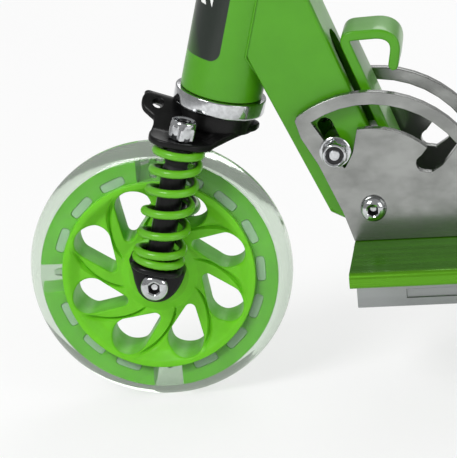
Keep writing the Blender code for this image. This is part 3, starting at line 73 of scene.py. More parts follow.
PIVOT = np.array(JOINTS["fold"]["pos_m"])
STEER_AT = np.array(JOINTS["steer"]["pos_m"])
STEER_UP = np.array(JOINTS["steer"]["axis"])
HOOK_UP = np.array(JOINTS["lock_lift"]["axis"])
BRAKE_PIN = np.array(JOINTS["brake"]["pos_m"])
AXLE = np.array(JOINTS["front_wheel_spin"]["pos_m"])
# Local axes, as columns, of a piece that is drawn as seen from a side
FROM_LEFT = np.array(((1.0, 0.0, 0.0), (0.0, 0.0, -1.0), (0.0, 1.0, 0.0)))
FROM_RIGHT = np.array(((1.0, 0.0, 0.0), (0.0, 0.0, 1.0), (0.0, -1.0, 0.0)))
SIDES = (("left", -1, FROM_LEFT), ("right", 1, FROM_RIGHT))
# Places: the origin and the local axes of what is drawn along the column or round the axle
COLUMN = (STEER_AT, leaning(STEER_UP))
WHEEL = (AXLE, FROM_LEFT)
# Middle of the lock bolt, and how far its nuts and the pivot's stand from the middle plane
LOCK_TURN = math.radians(119.0)
LOCK = PIVOT + np.array((math.cos(LOCK_TURN), 0.0, math.sin(LOCK_TURN))) * 0.0375
PLATE_FACE = 0.0273
# Middle of a fork leg in the column's axes, before its side is set
LEG = np.array((-0.015, 0.030, 0.0))
GAP = 0.0003
# Where the rolled edge of the deck begins, from the middle plane
RAIL_FROM = 0.0742


def linear(code):
    """An sRGB hex value such as #58A824 as linear red, green, blue and 1."""
    share = np.array([int(code[i:i + 2], 16) for i in (1, 3, 5)]) / 255.0
    bright = ((share + 0.055) / 1.055) ** 2.4
    return (*np.where(share <= 0.04045, share / 12.92, bright).tolist(), 1.0)


def length(name, default, description):
    """A length property in metres."""
    return bpy.props.FloatProperty(name=name, description=description, default=default,
                                   min=0.0, precision=4, unit="LENGTH")


def colour(name, code, description):
    """A colour property with an sRGB hex default."""
    return bpy.props.FloatVectorProperty(name=name, description=description, size=4,
                                         min=0.0, max=1.0, subtype="COLOR", default=linear(code))


class ScooterSizes(bpy.types.PropertyGroup):
    """Sizes of the fine surfaces."""
    wheel_radius: length("Front tyre radius", 0.0725, "Outside of the clear front tyre")
    rim_radius: length("Front rim radius", 0.0532, "Outside of the front wheel's rim ring")
    flange_radius: length("Flange radius", 0.0649, "Outside of the flange inside the front tyre")
    lip: length("Opening lip", 0.0012, "Rounding of the edge of a wheel's openings")
    groove_width: length("Spoke groove width", 0.0030, "Width of the groove along each spoke")
    groove_depth: length("Spoke groove depth", 0.0022, "Depth of the groove along each spoke")
    rear_radius: length("Rear tyre radius", 0.060, "Outside of the rear tyres")
    rear_rim_radius: length("Rear rim radius", 0.044, "Outside of the rear wheels' rim")
    spring_radius: length("Fork spring radius", 0.01225, "Middle of the fork springs' wire")
    spring_wire: length("Fork spring wire", 0.0045, "Thickness of the fork springs' wire")
    bolt: length("Bolt size", 0.008, "Shank of the axle and pivot bolts")
    flats: length("Nut across flats", 0.013, "Width of the nuts across their flats")
    tube_radius: length("Head tube radius", 0.0225, "Outside of the head tube")
    bead: length("Weld bead", 0.0012, "Width of the weld bead round the head tube")
    grip_radius: length("Grip radius", 0.0155, "Outside of the handlebar grips")
    edge: length("Edge rounding", 0.0005, "Rounding of the pressed and machined edges")


class ScooterColours(bpy.types.PropertyGroup):
    """Colours of the finishes."""
    paint: colour("Frame paint", "#4B9906", "Gloss enamel of the frame")
    plastic: colour("Wheel plastic", "#6FC825", "Moulded wheel cores")
    coil: colour("Spring paint", "#62B31A", "Powder coat of the fork springs")
    deck: colour("Deck enamel", "#4E960E", "Glossy enamel of the deck")
    edge: colour("Deck rail", "#589A14", "Enamel of the deck's rolled edge")
    black: colour("Black enamel", "#0A0A0A", "Fork, brake and clamp")
    rubber: colour("Rubber", "#1A1A1B", "Grips and mat")
    steel: colour("Plate steel", "#A1A3A0", "Zinc-plated folding plates")
    channel: colour("Channel", "#A6A9A9", "Mill-finish channel under the deck")
    chrome: colour("Chrome", "#D6D8DA", "Nuts, bolts, cups and inner tube")
    tyre: colour("Clear tyre", "#DDE9DB", "Clear vinyl of the tyres")
    key: colour("Tyre keys", "#B6D6B8", "Milky vinyl that fills the flange's windows")
    panel: colour("Front panel", "#1B241D", "Dark panel on the head tube")
    floor: colour("Floor", "#F7F7F7", "Floor of the studio")


def chosen(context):
    """The sizes and the colours as the sidebar has them."""
    return context.scene.scooter_sizes, context.scene.scooter_colours


def add_node(tree, kind, links=None, **settings):
    """One shader node with its settings; links gives an input its value or its source."""
    made = tree.nodes.new("ShaderNode" + kind)
    for key, value in settings.items():
        setattr(made, key, value)
    for key, value in (links or {}).items():
        if isinstance(value, bpy.types.NodeSocket):
            tree.links.new(value, made.inputs[key])
        else:
            made.inputs[key].default_value = value
    return made


def result(tree, operation, *values, kind="Math"):
    """What a maths node makes of its inputs, given in order."""
    made = add_node(tree, kind, dict(enumerate(values)), operation=operation)
    return made.outputs["Value" if operation == "LENGTH" else 0]


def ramp(tree, value, start, stop, low=0.0, high=1.0):
    """A value that runs from low to high while the given one runs from start to stop."""
    return add_node(tree, "MapRange", {0: value, 1: start, 2: stop, 3: low, 4: high}).outputs[0]


def mixed(tree, share, first, second):
    """The first colour where share is 0 and the second where it is 1."""
    return add_node(tree, "Mix", {0: share, 6: first, 7: second}, data_type="RGBA").outputs[2]


def coordinate(tree, kind):
    """Object or UV coordinates, and the same taken apart."""
    whole = add_node(tree, "TexCoord").outputs[kind]
    return whole, add_node(tree, "SeparateXYZ", {0: whole}).outputs


def tint(base, factor):
    """A colour with its red, green and blue multiplied."""
    return (*[min(1.0, part * factor) for part in base[:3]], 1.0)


def new_material(name, **sockets):
    """A material whose Principled sockets are given by name, with _ for a space."""
    made = bpy.data.materials.new(name)
    made.use_nodes = True
    shader = made.node_tree.nodes["Principled BSDF"]
    for key, value in sockets.items():
        shader.inputs[key.replace("_", " ")].default_value = value
    return made, made.node_tree, shader


def finish(name, base, shade, gloss, grain, bump, patch=0.040, along=1.0, **sockets):
    """A finish with two noises: patches of another shade and gloss, and a fine grain that is bump
    high. shade multiplies the base colour, gloss is the roughness from and to, patch and grain
    are the noises' sizes in metres, and along is less than 1 where they run on along x."""
    if name in bpy.data.materials:
        return bpy.data.materials[name]
    made, tree, shader = new_material(name, **sockets)
    where = add_node(tree, "TexCoord").outputs["Object"]
    where = add_node(tree, "Mapping", {"Vector": where, "Scale": (along, 1.0, 1.0)}).outputs[0]
    broad = add_node(tree, "TexNoise", {"Vector": where, "Scale": 1.0 / patch, "Detail": 5.0,
                                        "Roughness": 0.6}).outputs[0]
    tree.links.new(mixed(tree, ramp(tree, broad, 0.35, 0.65), base, tint(base, shade)),
                   shader.inputs["Base Color"])
    tree.links.new(ramp(tree, broad, 0.3, 0.7, *gloss), shader.inputs["Roughness"])
    small = add_node(tree, "TexNoise", {"Vector": where, "Scale": 1.0 / grain, "Detail": 3.0})
    relief = add_node(tree, "Bump", {"Height": small.outputs[0], "Strength": 0.6, "Distance": bump})
    tree.links.new(relief.outputs[0], shader.inputs["Normal"])
    return made


def cover(made, share, over):
    """A finish whose paint lies under another colour where share is 1."""
    tree = made.node_tree
    target = tree.nodes["Principled BSDF"].inputs["Base Color"]
    tree.links.new(mixed(tree, share, target.links[0].from_socket, over), target)
    return made


def gloss_enamel(base, name="gloss enamel"):
    """Stove enamel on steel: deep even colour under a clear gloss, faint orange peel of 2 mm."""
    return finish(name, base, 0.88, (0.30, 0.42), 0.0022, 0.00006, Specular_IOR_Level=0.35,
                  Coat_Weight=0.3, Coat_Roughness=0.07)


def moulded_nylon(base):
    """Injection-moulded nylon: silky, with a 0.5 mm spark texture and soft light inside."""
    return finish("moulded nylon", base, 0.9, (0.34, 0.46), 0.0005, 0.00003, 0.012,
                  Specular_IOR_Level=0.22, Subsurface_Weight=0.12, Subsurface_Scale=0.002,
                  Subsurface_Radius=(0.3, 1.0, 0.2))


def black_enamel(base, name="black enamel"):
    """Black stove enamel on pressed steel: deep gloss with a grey sheen and light dust."""
    return finish(name, base, 2.2, (0.26, 0.42), 0.0016, 0.00005, 0.010,
                  Specular_IOR_Level=0.2, Coat_Weight=0.06, Coat_Roughness=0.12)


def bright_chrome(base):
    """Chrome plate on turned steel: a mirror with faint polishing haze of 3 mm."""
    return finish("chrome plate", base, 0.72, (0.05, 0.16), 0.0006, 0.000006, 0.003, Metallic=1.0)


def zinc_plate(base):
    """Zinc-plated steel sheet: half a mirror, with clouded patches, rolling streaks and scuffs."""
    return finish("zinc-plated steel", base, 0.70, (0.13, 0.27), 0.0007, 0.00001, 0.014, 0.6,
                  Metallic=0.92)


def mill_aluminium(base):
    """Extruded aluminium as it leaves the die: satin grey with fine lines along its length."""
    return finish("mill aluminium", base, 0.86, (0.36, 0.5), 0.0008, 0.00002, 0.012, 0.05,
                  Metallic=0.75)


def deck_enamel(base, rail):
    """Candy enamel on aluminium: clear green over bright metal, with long rolling streaks, and a
    lighter green on the rolled edge, which is the last 3.8 mm on each side."""
    made = finish("candy enamel", base, 0.62, (0.16, 0.34), 0.0012, 0.00002, 0.006, 0.04,
                  Metallic=0.5, Specular_IOR_Level=0.3, Coat_Weight=0.12, Coat_Roughness=0.06)
    tree = made.node_tree
    aside = result(tree, "ABSOLUTE", coordinate(tree, "Object")[1][1])
    return cover(made, ramp(tree, aside, RAIL_FROM, RAIL_FROM + 0.0008), rail)


def moulded_rubber(base, name="moulded rubber"):
    """Moulded rubber: matt black with a 0.6 mm pebble and slightly greyed high spots."""
    return finish(name, base, 1.9, (0.55, 0.75), 0.0006, 0.00008, 0.004)


def grit_sheet(base):
    """Abrasive sheet: 0.8 mm mineral grit in black resin, which glints on its tips."""
    return finish("abrasive sheet", base, 2.4, (0.55, 0.95), 0.0008, 0.00035, 0.0016)


def milky_vinyl(base):
    """Thick cast vinyl over plastic: milky and pale green, with soft light inside."""
    return finish("milky vinyl", base, 0.9, (0.25, 0.4), 0.003, 0.00004, 0.006,
                  Subsurface_Weight=0.3, Subsurface_Scale=0.003, Subsurface_Radius=(0.6, 1.0, 0.6))


def clear_vinyl(base):
    """Clear cast vinyl: water-clear and a little milky, with soft moulding marks of 6 mm. It
    lets the lamps' light through to the plastic inside."""
    made = finish("clear vinyl", base, 0.95, (0.04, 0.12), 0.006, 0.00012, 0.020,
                  Transmission_Weight=0.975, IOR=1.33, Specular_IOR_Level=0.5)
    tree = made.node_tree
    alpha = tree.nodes["Principled BSDF"].inputs["Alpha"]
    if not alpha.is_linked:
        shadow = add_node(tree, "LightPath").outputs["Is Shadow Ray"]
        tree.links.new(ramp(tree, shadow, 0.0, 1.0, 1.0, 0.05), alpha)
    return made


def coil_enamel_with_painted_shade(base):
    """Powder coat on a coil, with painted shade: bright outside, and darkened nearly to black on
    the wire's inner side, which faces the rod, as painted shade. The piece's U is the cosine of the
    angle round the wire from its outer side."""
    made = gloss_enamel(base, "spring enamel with painted inner shade")
    tree = made.node_tree
    # Painted shade: from U 0.05 down to -0.5 the paint darkens to 6 % of its colour, on the wire's
    # inner side
    return cover(made, ramp(tree, coordinate(tree, "UV")[1][0], 0.05, -0.5), tint(base, 0.06))


def panel_enamel(base, panel):
    """Gloss enamel with a printed panel under its lacquer: charcoal that fades to green, and a
    band of slanted white bars. The piece's UV is millimetres round and up the tube. The panel is
    a rectangle 52 by 78 round (0, 172), with its corners rounded by 6."""
    made = gloss_enamel(base, "printed gloss enamel")
    tree = made.node_tree
    where, (across, up, _) = coordinate(tree, "UV")
    past = where
    for operation, *values in (("SUBTRACT", (0.0, 172.0, 0.0)), ("ABSOLUTE",),
                               ("SUBTRACT", (26.0, 39.0, 0.0)), ("MAXIMUM", (0.0, 0.0, 0.0)),
                               ("LENGTH",)):
        past = result(tree, operation, past, *values, kind="VectorMath")
    slant = result(tree, "MULTIPLY_ADD", up, 0.55, across)
    fade = result(tree, "PINGPONG", ramp(tree, slant, 62.0, 92.0), 0.5)
    ink = mixed(tree, fade, panel, tint(base, 0.75))
    bar = result(tree, "LESS_THAN", result(tree, "MODULO", slant, 9.0), 4.6)
    for edge in (ramp(tree, up, 156.0, 156.4), ramp(tree, up, 170.4, 170.0),
                 ramp(tree, result(tree, "ABSOLUTE", across), 22.4, 22.0)):
        bar = result(tree, "MULTIPLY", bar, edge)
    ink = mixed(tree, bar, ink, linear("#EDEFEC"))
    return cover(made, ramp(tree, past, 6.2, 5.8), ink)


def turned_axes(place, points):
    """Local points in the scooter's frame; place is an origin and the local axes as columns."""
    origin, axes = place
    return origin + np.asarray(points) @ axes.T


def sided(place, side):
    """A place on the right with side 1, its mirror image on the left with side -1, or what lies
    between the two with side 0."""
    return np.multiply(place, (1.0, side, 1.0))


def lifted(plan, level):
    """Points whose x and y are a plan's complex numbers, at their levels."""
    return np.stack(np.broadcast_arrays(plan.real, plan.imag, level), axis=-1)


def doubled(profile):
    """A profile from its start up to the middle plane, and its mirror image back."""
    return [*profile, *[(radius, -height) for radius, height in reversed(profile)]]


def eased(corners, radius, steps=4):
    """A profile whose inner corners become quadratic curves that start radius before them."""
    points = np.asarray(corners, float)
    before, here, after = points[:-2], points[1:-1], points[2:]

    def towards(end):
        way = end - here
        size = np.linalg.norm(way, axis=1, keepdims=True)
        return (here + way / size * np.minimum(radius, size * 0.48))[:, None]

    share = np.linspace(0.0, 1.0, steps + 1)[None, :, None]
    curve = ((1 - share) ** 2 * towards(before) + 2 * share * (1 - share) * here[:, None]
             + share ** 2 * towards(after))
    return np.vstack([points[:1], curve.reshape(-1, 2), points[-1:]])


def spun(rows, steps=96, start=0.0):
    """A turned surface: rows of (radius, height), carried round the local z axis. A third number
    is half the width across flats, and cuts the radius to the hexagon's where that is less."""
    angle = start + np.linspace(0.0, 2 * math.pi, steps + 1)[:, None]
    radius, height, *flat = np.asarray(rows, float).T
    if flat:
        side = flat[0] / np.cos((angle + math.pi / 6) % (math.pi / 3) - math.pi / 6)
        radius = np.minimum(radius, side)
    return lifted(radius * np.exp(1j * angle), height)


def tube_along(path, radius, aside, sides=14):
    """A round tube: circles square to the path, whose first arm points along aside, with its
    ends closed to a point. radius is one number or one for each point."""
    path = np.asarray(path, float)
    along = np.gradient(path, axis=0)
    along /= np.linalg.norm(along, axis=1, keepdims=True)
    arm = np.broadcast_to(aside, path.shape)
    arm = arm - along * np.sum(arm * along, axis=1, keepdims=True)
    arm /= np.linalg.norm(arm, axis=1, keepdims=True)
    across = np.cross(along, arm)
    ends = np.r_[0, 0, np.arange(len(path)), len(path) - 1, len(path) - 1]
    size = np.broadcast_to(radius, len(path))[ends].copy()
    size[[0, -1]] = 0.0
    size[[1, -2]] *= 0.82
    angle = np.linspace(0.0, 2 * math.pi, sides + 1)
    ring = (np.cos(angle)[:, None] * arm[ends][:, None]
            + np.sin(angle)[:, None] * across[ends][:, None])
    return path[ends][:, None] + size[:, None, None] * ring


def flowing(knots, values, at):
    """Values on a smooth curve through the knots: Hermite pieces, where the slope at each knot
    is the mean of its neighbours'."""
    knots, values = np.asarray(knots), np.asarray(values)
    slope = np.gradient(values, knots)
    index = np.clip(np.searchsorted(knots, at) - 1, 0, len(knots) - 2)
    span = knots[index + 1] - knots[index]
    share = (at - knots[index]) / span
    return (values[index] * (1 + 2 * share) * (1 - share) ** 2
            + values[index + 1] * share ** 2 * (3 - 2 * share)
            + span * share * (1 - share) * (slope[index] * (1 - share) - slope[index + 1] * share))


def run_to(points):
    """The length of a line of complex numbers up to each of its points."""
    return np.append(0.0, np.cumsum(np.abs(np.diff(points))))


def flowing_line(points, count):
    """An outline in millimetres as evenly spaced complex numbers in metres."""
    points = np.asarray(points) @ (0.001, 0.001j)
    run = run_to(points)
    return flowing(run, points, np.linspace(0.0, run[-1], count + 1))


def coil(radius, wire, turns, levels, start=0.0, middle=(0.0, 0.0, 0.0), sides=14):
    """A coil spring of round wire. Its height flows through the levels at the turns."""
    turn = np.linspace(turns[0], turns[-1], int((turns[-1] - turns[0]) * 26) + 1)
    level = flowing(turns, levels, turn)
    round_it = np.exp(1j * (start + 2 * math.pi * turn))
    return tube_along(lifted(round_it * radius, level) + middle, wire / 2, lifted(round_it, 0.0),
                      sides)


def superellipse(count, width, height, power):
    """Complex points of a closed curve, where cos and sin keep their signs and are raised to a
    power."""
    angle = np.linspace(0.0, 2 * math.pi, count, endpoint=False)
    cos, sin = np.cos(angle), np.sin(angle)
    return (width * np.sign(cos) * np.abs(cos) ** power
            + 1j * height * np.sign(sin) * np.abs(sin) ** power)


def closed_stack(loop, centre, sizes, levels):
    """A closed body: an outline (complex numbers) scaled about its centre at each level, whose
    first and last sizes are nearly nothing."""
    loop = np.append(loop, loop[0])
    return lifted(centre + (loop - centre)[:, None] * np.array(sizes), levels)


def quads(index):
    """Faces between the neighbours of a grid of vertex numbers."""
    return np.stack([index[:-1, :-1], index[1:, :-1], index[1:, 1:], index[:-1, 1:]],
                    axis=-1).reshape(-1, 4)


def placed_mesh(name, corners, faces, material):
    """A linked object of vertices and faces, at the origin."""
    mesh = bpy.data.meshes.new(name)
    mesh.from_pydata(corners.tolist(), [], faces.tolist())
    mesh.materials.append(material)
    made = bpy.data.objects.new(name, mesh)
    bpy.context.scene.collection.objects.link(made)
    return made


def piece(name, body, place, grids, material, slot, nodes=(), wrap=False, uv=None, sharp=35.0):
    """One mesh from grids of local points: neighbours on a grid make a face. Grids are sewn
    where their edges meet, or with wrap each is closed both ways and stays by itself. uv holds
    the surface coordinates of the one grid. sharp is the angle from which an edge stays hard."""
    corners, faces, base = [], [], 0
    for grid in grids:
        index = np.arange(grid.shape[0] * grid.shape[1]).reshape(grid.shape[:2]) + base
        base += index.size
        corners.append(turned_axes(place, grid).reshape(-1, 3))
        faces.append(quads(np.pad(index, ((0, 1), (0, 1)), mode="wrap") if wrap else index))
    faces = np.concatenate(faces)
    made = placed_mesh(name, np.concatenate(corners), faces, material)
    mesh = made.data
    if uv is not None:
        layer = mesh.uv_layers.new(name="surface")
        layer.data.foreach_set("uv", uv.reshape(-1, 2)[faces.ravel()].ravel())
    work = bmesh.new()
    work.from_mesh(mesh)
    if not wrap:
        bmesh.ops.remove_doubles(work, verts=work.verts, dist=2e-6)
    bmesh.ops.dissolve_degenerate(work, edges=work.edges, dist=1e-7)
    bmesh.ops.recalc_face_normals(work, faces=work.faces)
    work.to_mesh(mesh)
    work.free()
    mesh.shade_smooth()
    mesh.set_sharp_from_angle(angle=math.radians(sharp))
    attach(made, body)
    if nodes:
        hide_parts(*nodes)
    return made


def fine(node, body, place, grids, material, slot, **settings):
    """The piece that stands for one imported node."""
    return piece(f"{node}_fine", body, place, grids, material, slot, [node], **settings)


def dress(nodes, material, width):
    """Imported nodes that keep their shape: edges rounded and curves shaded smooth by modifiers."""
    for name in nodes.split():
        node = FRAME["nodes"][name]
        node.data.materials.clear()
        node.data.materials.append(material)
        count = len(node.data.polygons)
        node.data.polygons.foreach_set("use_smooth", np.ones(count, bool))
        node.data.polygons.foreach_set("material_index", np.zeros(count, np.int32))
        for kind, settings in (
                ("WELD", {"merge_threshold": 0.00001}),
                ("DECIMATE", {"decimate_type": "DISSOLVE", "angle_limit": math.radians(0.6)}),
                ("BEVEL", {"width": width, "segments": 2, "limit_method": "ANGLE",
                           "angle_limit": math.radians(38.0)}),
                ("WEIGHTED_NORMAL", {"keep_sharp": True})):
            modifier = node.modifiers.new(kind.lower(), kind)
            for key, value in settings.items():
                setattr(modifier, key, value)


# Radius of the hole that the steerer tube passes through, in the fork crown and the cups
HOLE = 0.0173
SPOKES = 8
SPIRAL = math.radians(35.0)
FIRST_OPENING = math.radians(16.5)
RIM_WALL = 0.0032
# Radii of the hub's flat faces and of the ring round them, then of the bearing and the axle's
# hole, with the bearing's width
HUB_FACE = 0.0165
HUB_RING = 0.0210
BEARING_R, BEARING_WIDE = 0.0110, 0.0070
HUB_BORE = 0.0068
# The flange has sixteen blocks, without the three where the lights are
BLOCKS = [index for index in range(16) if index not in (4, 8, 12)]
FLANGE_HALF = 0.0106
WINDOW_R = 0.0560
LIGHT_HALF_GAP = 0.008


def stretches(counts, *ends):
    """Evenly spaced values from each end to the next, without the last end."""
    return np.concatenate([np.linspace(start, stop, count, endpoint=False)
                           for start, stop, count in zip(ends, ends[1:], counts)])


def closed_loop(inner_r, outer_r, counts):
    """The edge of a ring sector, from the middle of its inner side round to there again: radius
    and share of the sector's half width."""
    radius = stretches(counts, inner_r, inner_r, outer_r, outer_r)
    share = stretches(counts, 0.0, 1.0, 1.0, 0.0)
    return (np.concatenate([radius, [outer_r], radius[:0:-1]]),
            np.concatenate([share, [0.0], -share[:0:-1]]))


def looking_out(outline, counts, shares):
    """The points of a closed outline (complex numbers) that closed_loop's points look to: shares
    of its length at the ends of the side, and evenly spaced between."""
    half = stretches(counts, 0.0, *shares, 0.5)
    outline = np.append(outline, outline[0])
    run = run_to(outline)
    at = np.concatenate([half, [0.5], 1.0 - half[:0:-1]]) * run[-1]
    return np.interp(at, run, outline.real) + 1j * np.interp(at, run, outline.imag)


def around_opening(opening, edge, height, lip, groove=(0.0004, 0.0), mask=None):
    """Both faces and the wall of a plate with a hole. Each line runs from the plate's edge to the
    hole, over a quarter-round lip, down the wall and back along the other face. The groove (half
    width and depth) dips the last part before the edge where mask is 1."""
    mask = np.zeros(len(edge)) if mask is None else mask
    turn = np.linspace(0.0, math.pi / 2, 5)
    reach = np.abs(edge - opening)[:, None]
    middle = np.linspace(0.0, 1.0, 7)[1:]
    half, depth = groove
    line = np.gradient(edge)
    slant = np.abs((line.conj() * (edge - opening)).imag)[:, None] / (np.abs(line)[:, None] * reach)
    half = np.minimum(half / np.maximum(slant, 0.2), reach - lip * 1.5)
    last = np.array([0.35, 0.7, 1.0])
    away = np.concatenate([lip * (1 - np.cos(turn)) + 0 * reach,
                           lip + (reach - half - lip) * middle,
                           reach - half + half * last], axis=1)
    drop = np.concatenate([lip * (1 - np.sin(turn)) + 0 * reach, 0 * reach + 0 * middle,
                           depth * mask[:, None] * np.array([0.45, 0.88, 1.0])], axis=1)
    flat = opening[:, None] + (edge - opening)[:, None] / reach * away
    front = lifted(flat, height(flat) - drop)[:, ::-1]
    return np.concatenate([front, front[:, ::-1] * (1.0, 1.0, -1.0)], axis=1)


def turned_copies(grid, turns):
    """Copies of a grid, each turned about z by an angle."""
    plan = grid[..., :2] @ (1.0, 1.0j)
    return [lifted(plan * turn, grid[..., 2]) for turn in np.exp(1j * np.asarray(turns))]


def core_grids(rim_r, rim_half, web_half, hub_half, opening_r, nose_r, nose_round, sizes):
    """Grids of a wheel core: eight sectors, each round a teardrop opening (two circles and their
    tangents) and bounded by the spirals along the middle of its spokes, then the rim and the hub
    as turned surfaces."""
    outer_ring = rim_r - 2 * RIM_WALL
    centre_r = rim_r - RIM_WALL - opening_r
    knots = (0.0, HUB_FACE, HUB_RING, rim_r - 2.8 * RIM_WALL, rim_r - RIM_WALL, rim_r)
    levels = (hub_half, hub_half, web_half, web_half, rim_half, rim_half)

    def height(place):
        """Half the thickness: the mean of seven levels from 1 mm inside to 1 mm outside."""
        spread = np.linspace(-0.0010, 0.0010, 7)
        return np.interp(np.abs(place)[..., None] + spread, knots, levels).mean(axis=-1)

    def skew(radius):
        """The spiral's turn, which is none at the rim and grows evenly towards the hub."""
        return SPIRAL * (outer_ring - radius) / (outer_ring - HUB_RING)

    inner_r, outer_r = nose_r - nose_round - 0.0030, rim_r - RIM_WALL + 0.0014
    counts = (4, 24, 10)
    radius, share = closed_loop(inner_r, outer_r, counts)
    middle = FIRST_OPENING - skew(centre_r)
    edge = radius * np.exp(1j * (middle + skew(radius) + share * (math.pi / SPOKES)))
    centre = centre_r * np.exp(1j * FIRST_OPENING)
    nose = nose_r * np.exp(1j * (FIRST_OPENING + skew(nose_r) - skew(centre_r)))
    towards = np.angle(nose - centre)
    spread = math.acos((opening_r - nose_round) / abs(nose - centre))
    curl = np.linspace(0.0, -spread, 12)
    bow = np.linspace(-spread, spread - 2 * math.pi, 90)
    outline = np.concatenate([nose + nose_round * np.exp(1j * (towards + curl)),
                              centre + opening_r * np.exp(1j * (towards + bow)),
                              nose + nose_round * np.exp(1j * (towards - curl[::-1]))])
    widen = np.clip((radius - inner_r) / (outer_ring - inner_r), 0.0, 1.0)
    fade = (np.clip((radius - inner_r) / 0.004, 0, 1)
            * np.sqrt(np.clip((outer_ring + 0.0010 - radius) / 0.0022, 0, 1)))
    grid = around_opening(looking_out(outline, counts, (0.05, 0.40)), edge, height, sizes.lip,
                          (sizes.groove_width * (0.22 + 0.38 * widen)[:, None], sizes.groove_depth),
                          np.where(np.abs(share) == 1.0, fade, 0.0))
    grids = turned_copies(np.concatenate([grid, grid[:1]]),
                          2 * math.pi * np.arange(SPOKES) / SPOKES)
    top, low = float(height(outer_r)), float(height(inner_r))
    rim = eased([(outer_r, top), (rim_r, rim_half), (rim_r, -rim_half), (outer_r, -top)], 0.0008)
    grids.append(spun(rim, 2 * counts[2] * SPOKES, middle + skew(outer_r)))
    seat, shoulder = BEARING_R + GAP, hub_half - 2 * GAP - BEARING_WIDE
    hub = eased(doubled([(inner_r, low), (HUB_FACE, hub_half), (seat, hub_half), (seat, shoulder),
                         (HUB_BORE, shoulder)]), 0.0003)
    grids.append(spun(hub, 2 * counts[0] * SPOKES, middle + skew(inner_r)))
    return grids


def window_outline(count):
    """A moulding window of the flange, a superellipse raised to 0.45, as complex points."""
    return WINDOW_R - superellipse(count, 0.0024, -0.0072, 0.45)


def window_grids(half=0.0102):
    """Grids of the milky keys of the tyre that fill the windows: each runs from the middle of
    one face over the edge to the middle of the other."""
    sizes = np.array([0.001, 0.5, 0.93, 0.97, 0.97, 0.93, 0.5, 0.001])
    level = half * np.array([1.0, 1.0, 1.0, 0.96, -0.96, -1.0, -1.0, -1.0])
    return turned_copies(closed_stack(window_outline(48), WINDOW_R, sizes, level),
                         math.pi * np.array(BLOCKS) / 8)


def flange_grids(sizes):
    """Grids of the flange inside the front tyre: a closed block round each moulding window, cut
    off where the three gaps for the lights are."""
    counts = (8, 8, 8)
    radius, share = closed_loop(sizes.rim_radius - 0.0006, sizes.flange_radius, counts)
    opening = looking_out(window_outline(160), counts, (0.14, 0.24))
    grids = []
    for index in BLOCKS:
        beside = (index + np.where(share < 0, -1, 1)) % 16
        gap = np.pi / 8 - np.arcsin(LIGHT_HALF_GAP / radius)
        edge = radius * np.exp(1j * share * np.where(np.isin(beside, BLOCKS), np.pi / 16, gap))
        grids += turned_copies(around_opening(opening, edge, lambda plan: FLANGE_HALF, 0.0005),
                               [math.pi * index / 8])
    return grids


def tyre_profile(radius, half, base_r, flange=None):
    """The tyre's section, closed: round tread, shoulders and the groove for a flange."""
    side = np.array([(0.0, 0.90), (0.22, 1.0), (0.50, 0.95), (0.74, 0.80), (0.91, 0.52),
                     (0.985, 0.24)]) * (radius - base_r, half) + (base_r, 0.0)
    outside = eased([*side, (radius, 0.0), *side[::-1] * (1, -1)], 0.004, 6)
    inside = [side[0]]
    if flange:
        groove_r, groove = flange[0] + GAP, flange[1] + GAP
        inside = [(base_r, -groove), (groove_r, -groove), (groove_r, groove), (base_r, groove),
                  side[0]]
    return np.vstack([outside, inside])


class SCOOTER_OT_front_wheel(bpy.types.Operator):
    """Front wheel core, its flange, the clear tyre and the three lights"""
    bl_idname = "scooter.front_wheel"
    bl_label = "Front wheel"

    def execute(self, context):
        sizes, colours = chosen(context)
        nylon, vinyl = moulded_nylon(colours.plastic), clear_vinyl(colours.tyre)
        core = core_grids(sizes.rim_radius, rim_half=0.0155, web_half=0.0110, hub_half=0.0145,
                          opening_r=0.0100, nose_r=0.0265, nose_round=0.0030, sizes=sizes)
        piece("front_core_fine", "front_wheel", WHEEL, core, nylon, "green_plastic",
              ["front_wheel_core"])
        piece("front_flange_fine", "front_wheel", WHEEL, flange_grids(sizes), nylon,
              "green_plastic", ["front_wheel_core"], wrap=True)
        piece("front_tyre_keys", "front_wheel", WHEEL, window_grids(), milky_vinyl(colours.key),
              "clear_tyre")
        section = tyre_profile(sizes.wheel_radius, half=0.0148, base_r=sizes.rim_radius + GAP,
                               flange=(sizes.flange_radius, FLANGE_HALF))
        fine("front_tyre", "front_wheel", WHEEL, [spun(section, 160)], vinyl, "clear_tyre")
        dome = spun(eased([(0.0, 0.0068), (0.0021, 0.0062), (0.0024, 0.0030), (0.0024, 0.0),
                           (0.0, 0.0)], 0.0008), 32)
        across = (0.0, 0.0, 1.0)
        for index, angle in enumerate((math.pi / 2, math.pi, 1.5 * math.pi)):
            out = np.array((math.cos(angle), math.sin(angle), 0.0))
            axes = np.stack([np.cross(across, out), across, out], axis=1)
            local = turned_axes((out * (sizes.rim_radius + 0.0002), axes), dome)
            piece(f"light_{index}", "front_wheel", WHEEL, [local], vinyl, "clear_tyre")
        return {"FINISHED"}


class SCOOTER_OT_rear_wheels(bpy.types.Operator):
    """Rear wheel cores and tyres"""
    bl_idname = "scooter.rear_wheels"
    bl_label = "Rear wheels"

    def execute(self, context):
        sizes, colours = chosen(context)
        nylon, vinyl = moulded_nylon(colours.plastic), clear_vinyl(colours.tyre)
        core = core_grids(sizes.rear_rim_radius, rim_half=0.0125, web_half=0.0090,
                          hub_half=0.0120, opening_r=0.0080, nose_r=0.0228, nose_round=0.0024,
                          sizes=sizes)
        section = tyre_profile(sizes.rear_radius, half=0.0120,
                               base_r=sizes.rear_rim_radius + GAP)
        for name, _, _ in SIDES:
            body = f"rear_wheel_{name}"
            place = (np.array(JOINTS[f"{body}_spin"]["pos_m"]), FROM_LEFT)
            fine(f"rear_core_{name}", body, place, core, nylon, "green_plastic")
            fine(f"rear_tyre_{name}", body, place, [spun(section, 144)], vinyl, "clear_tyre")
        return {"FINISHED"}


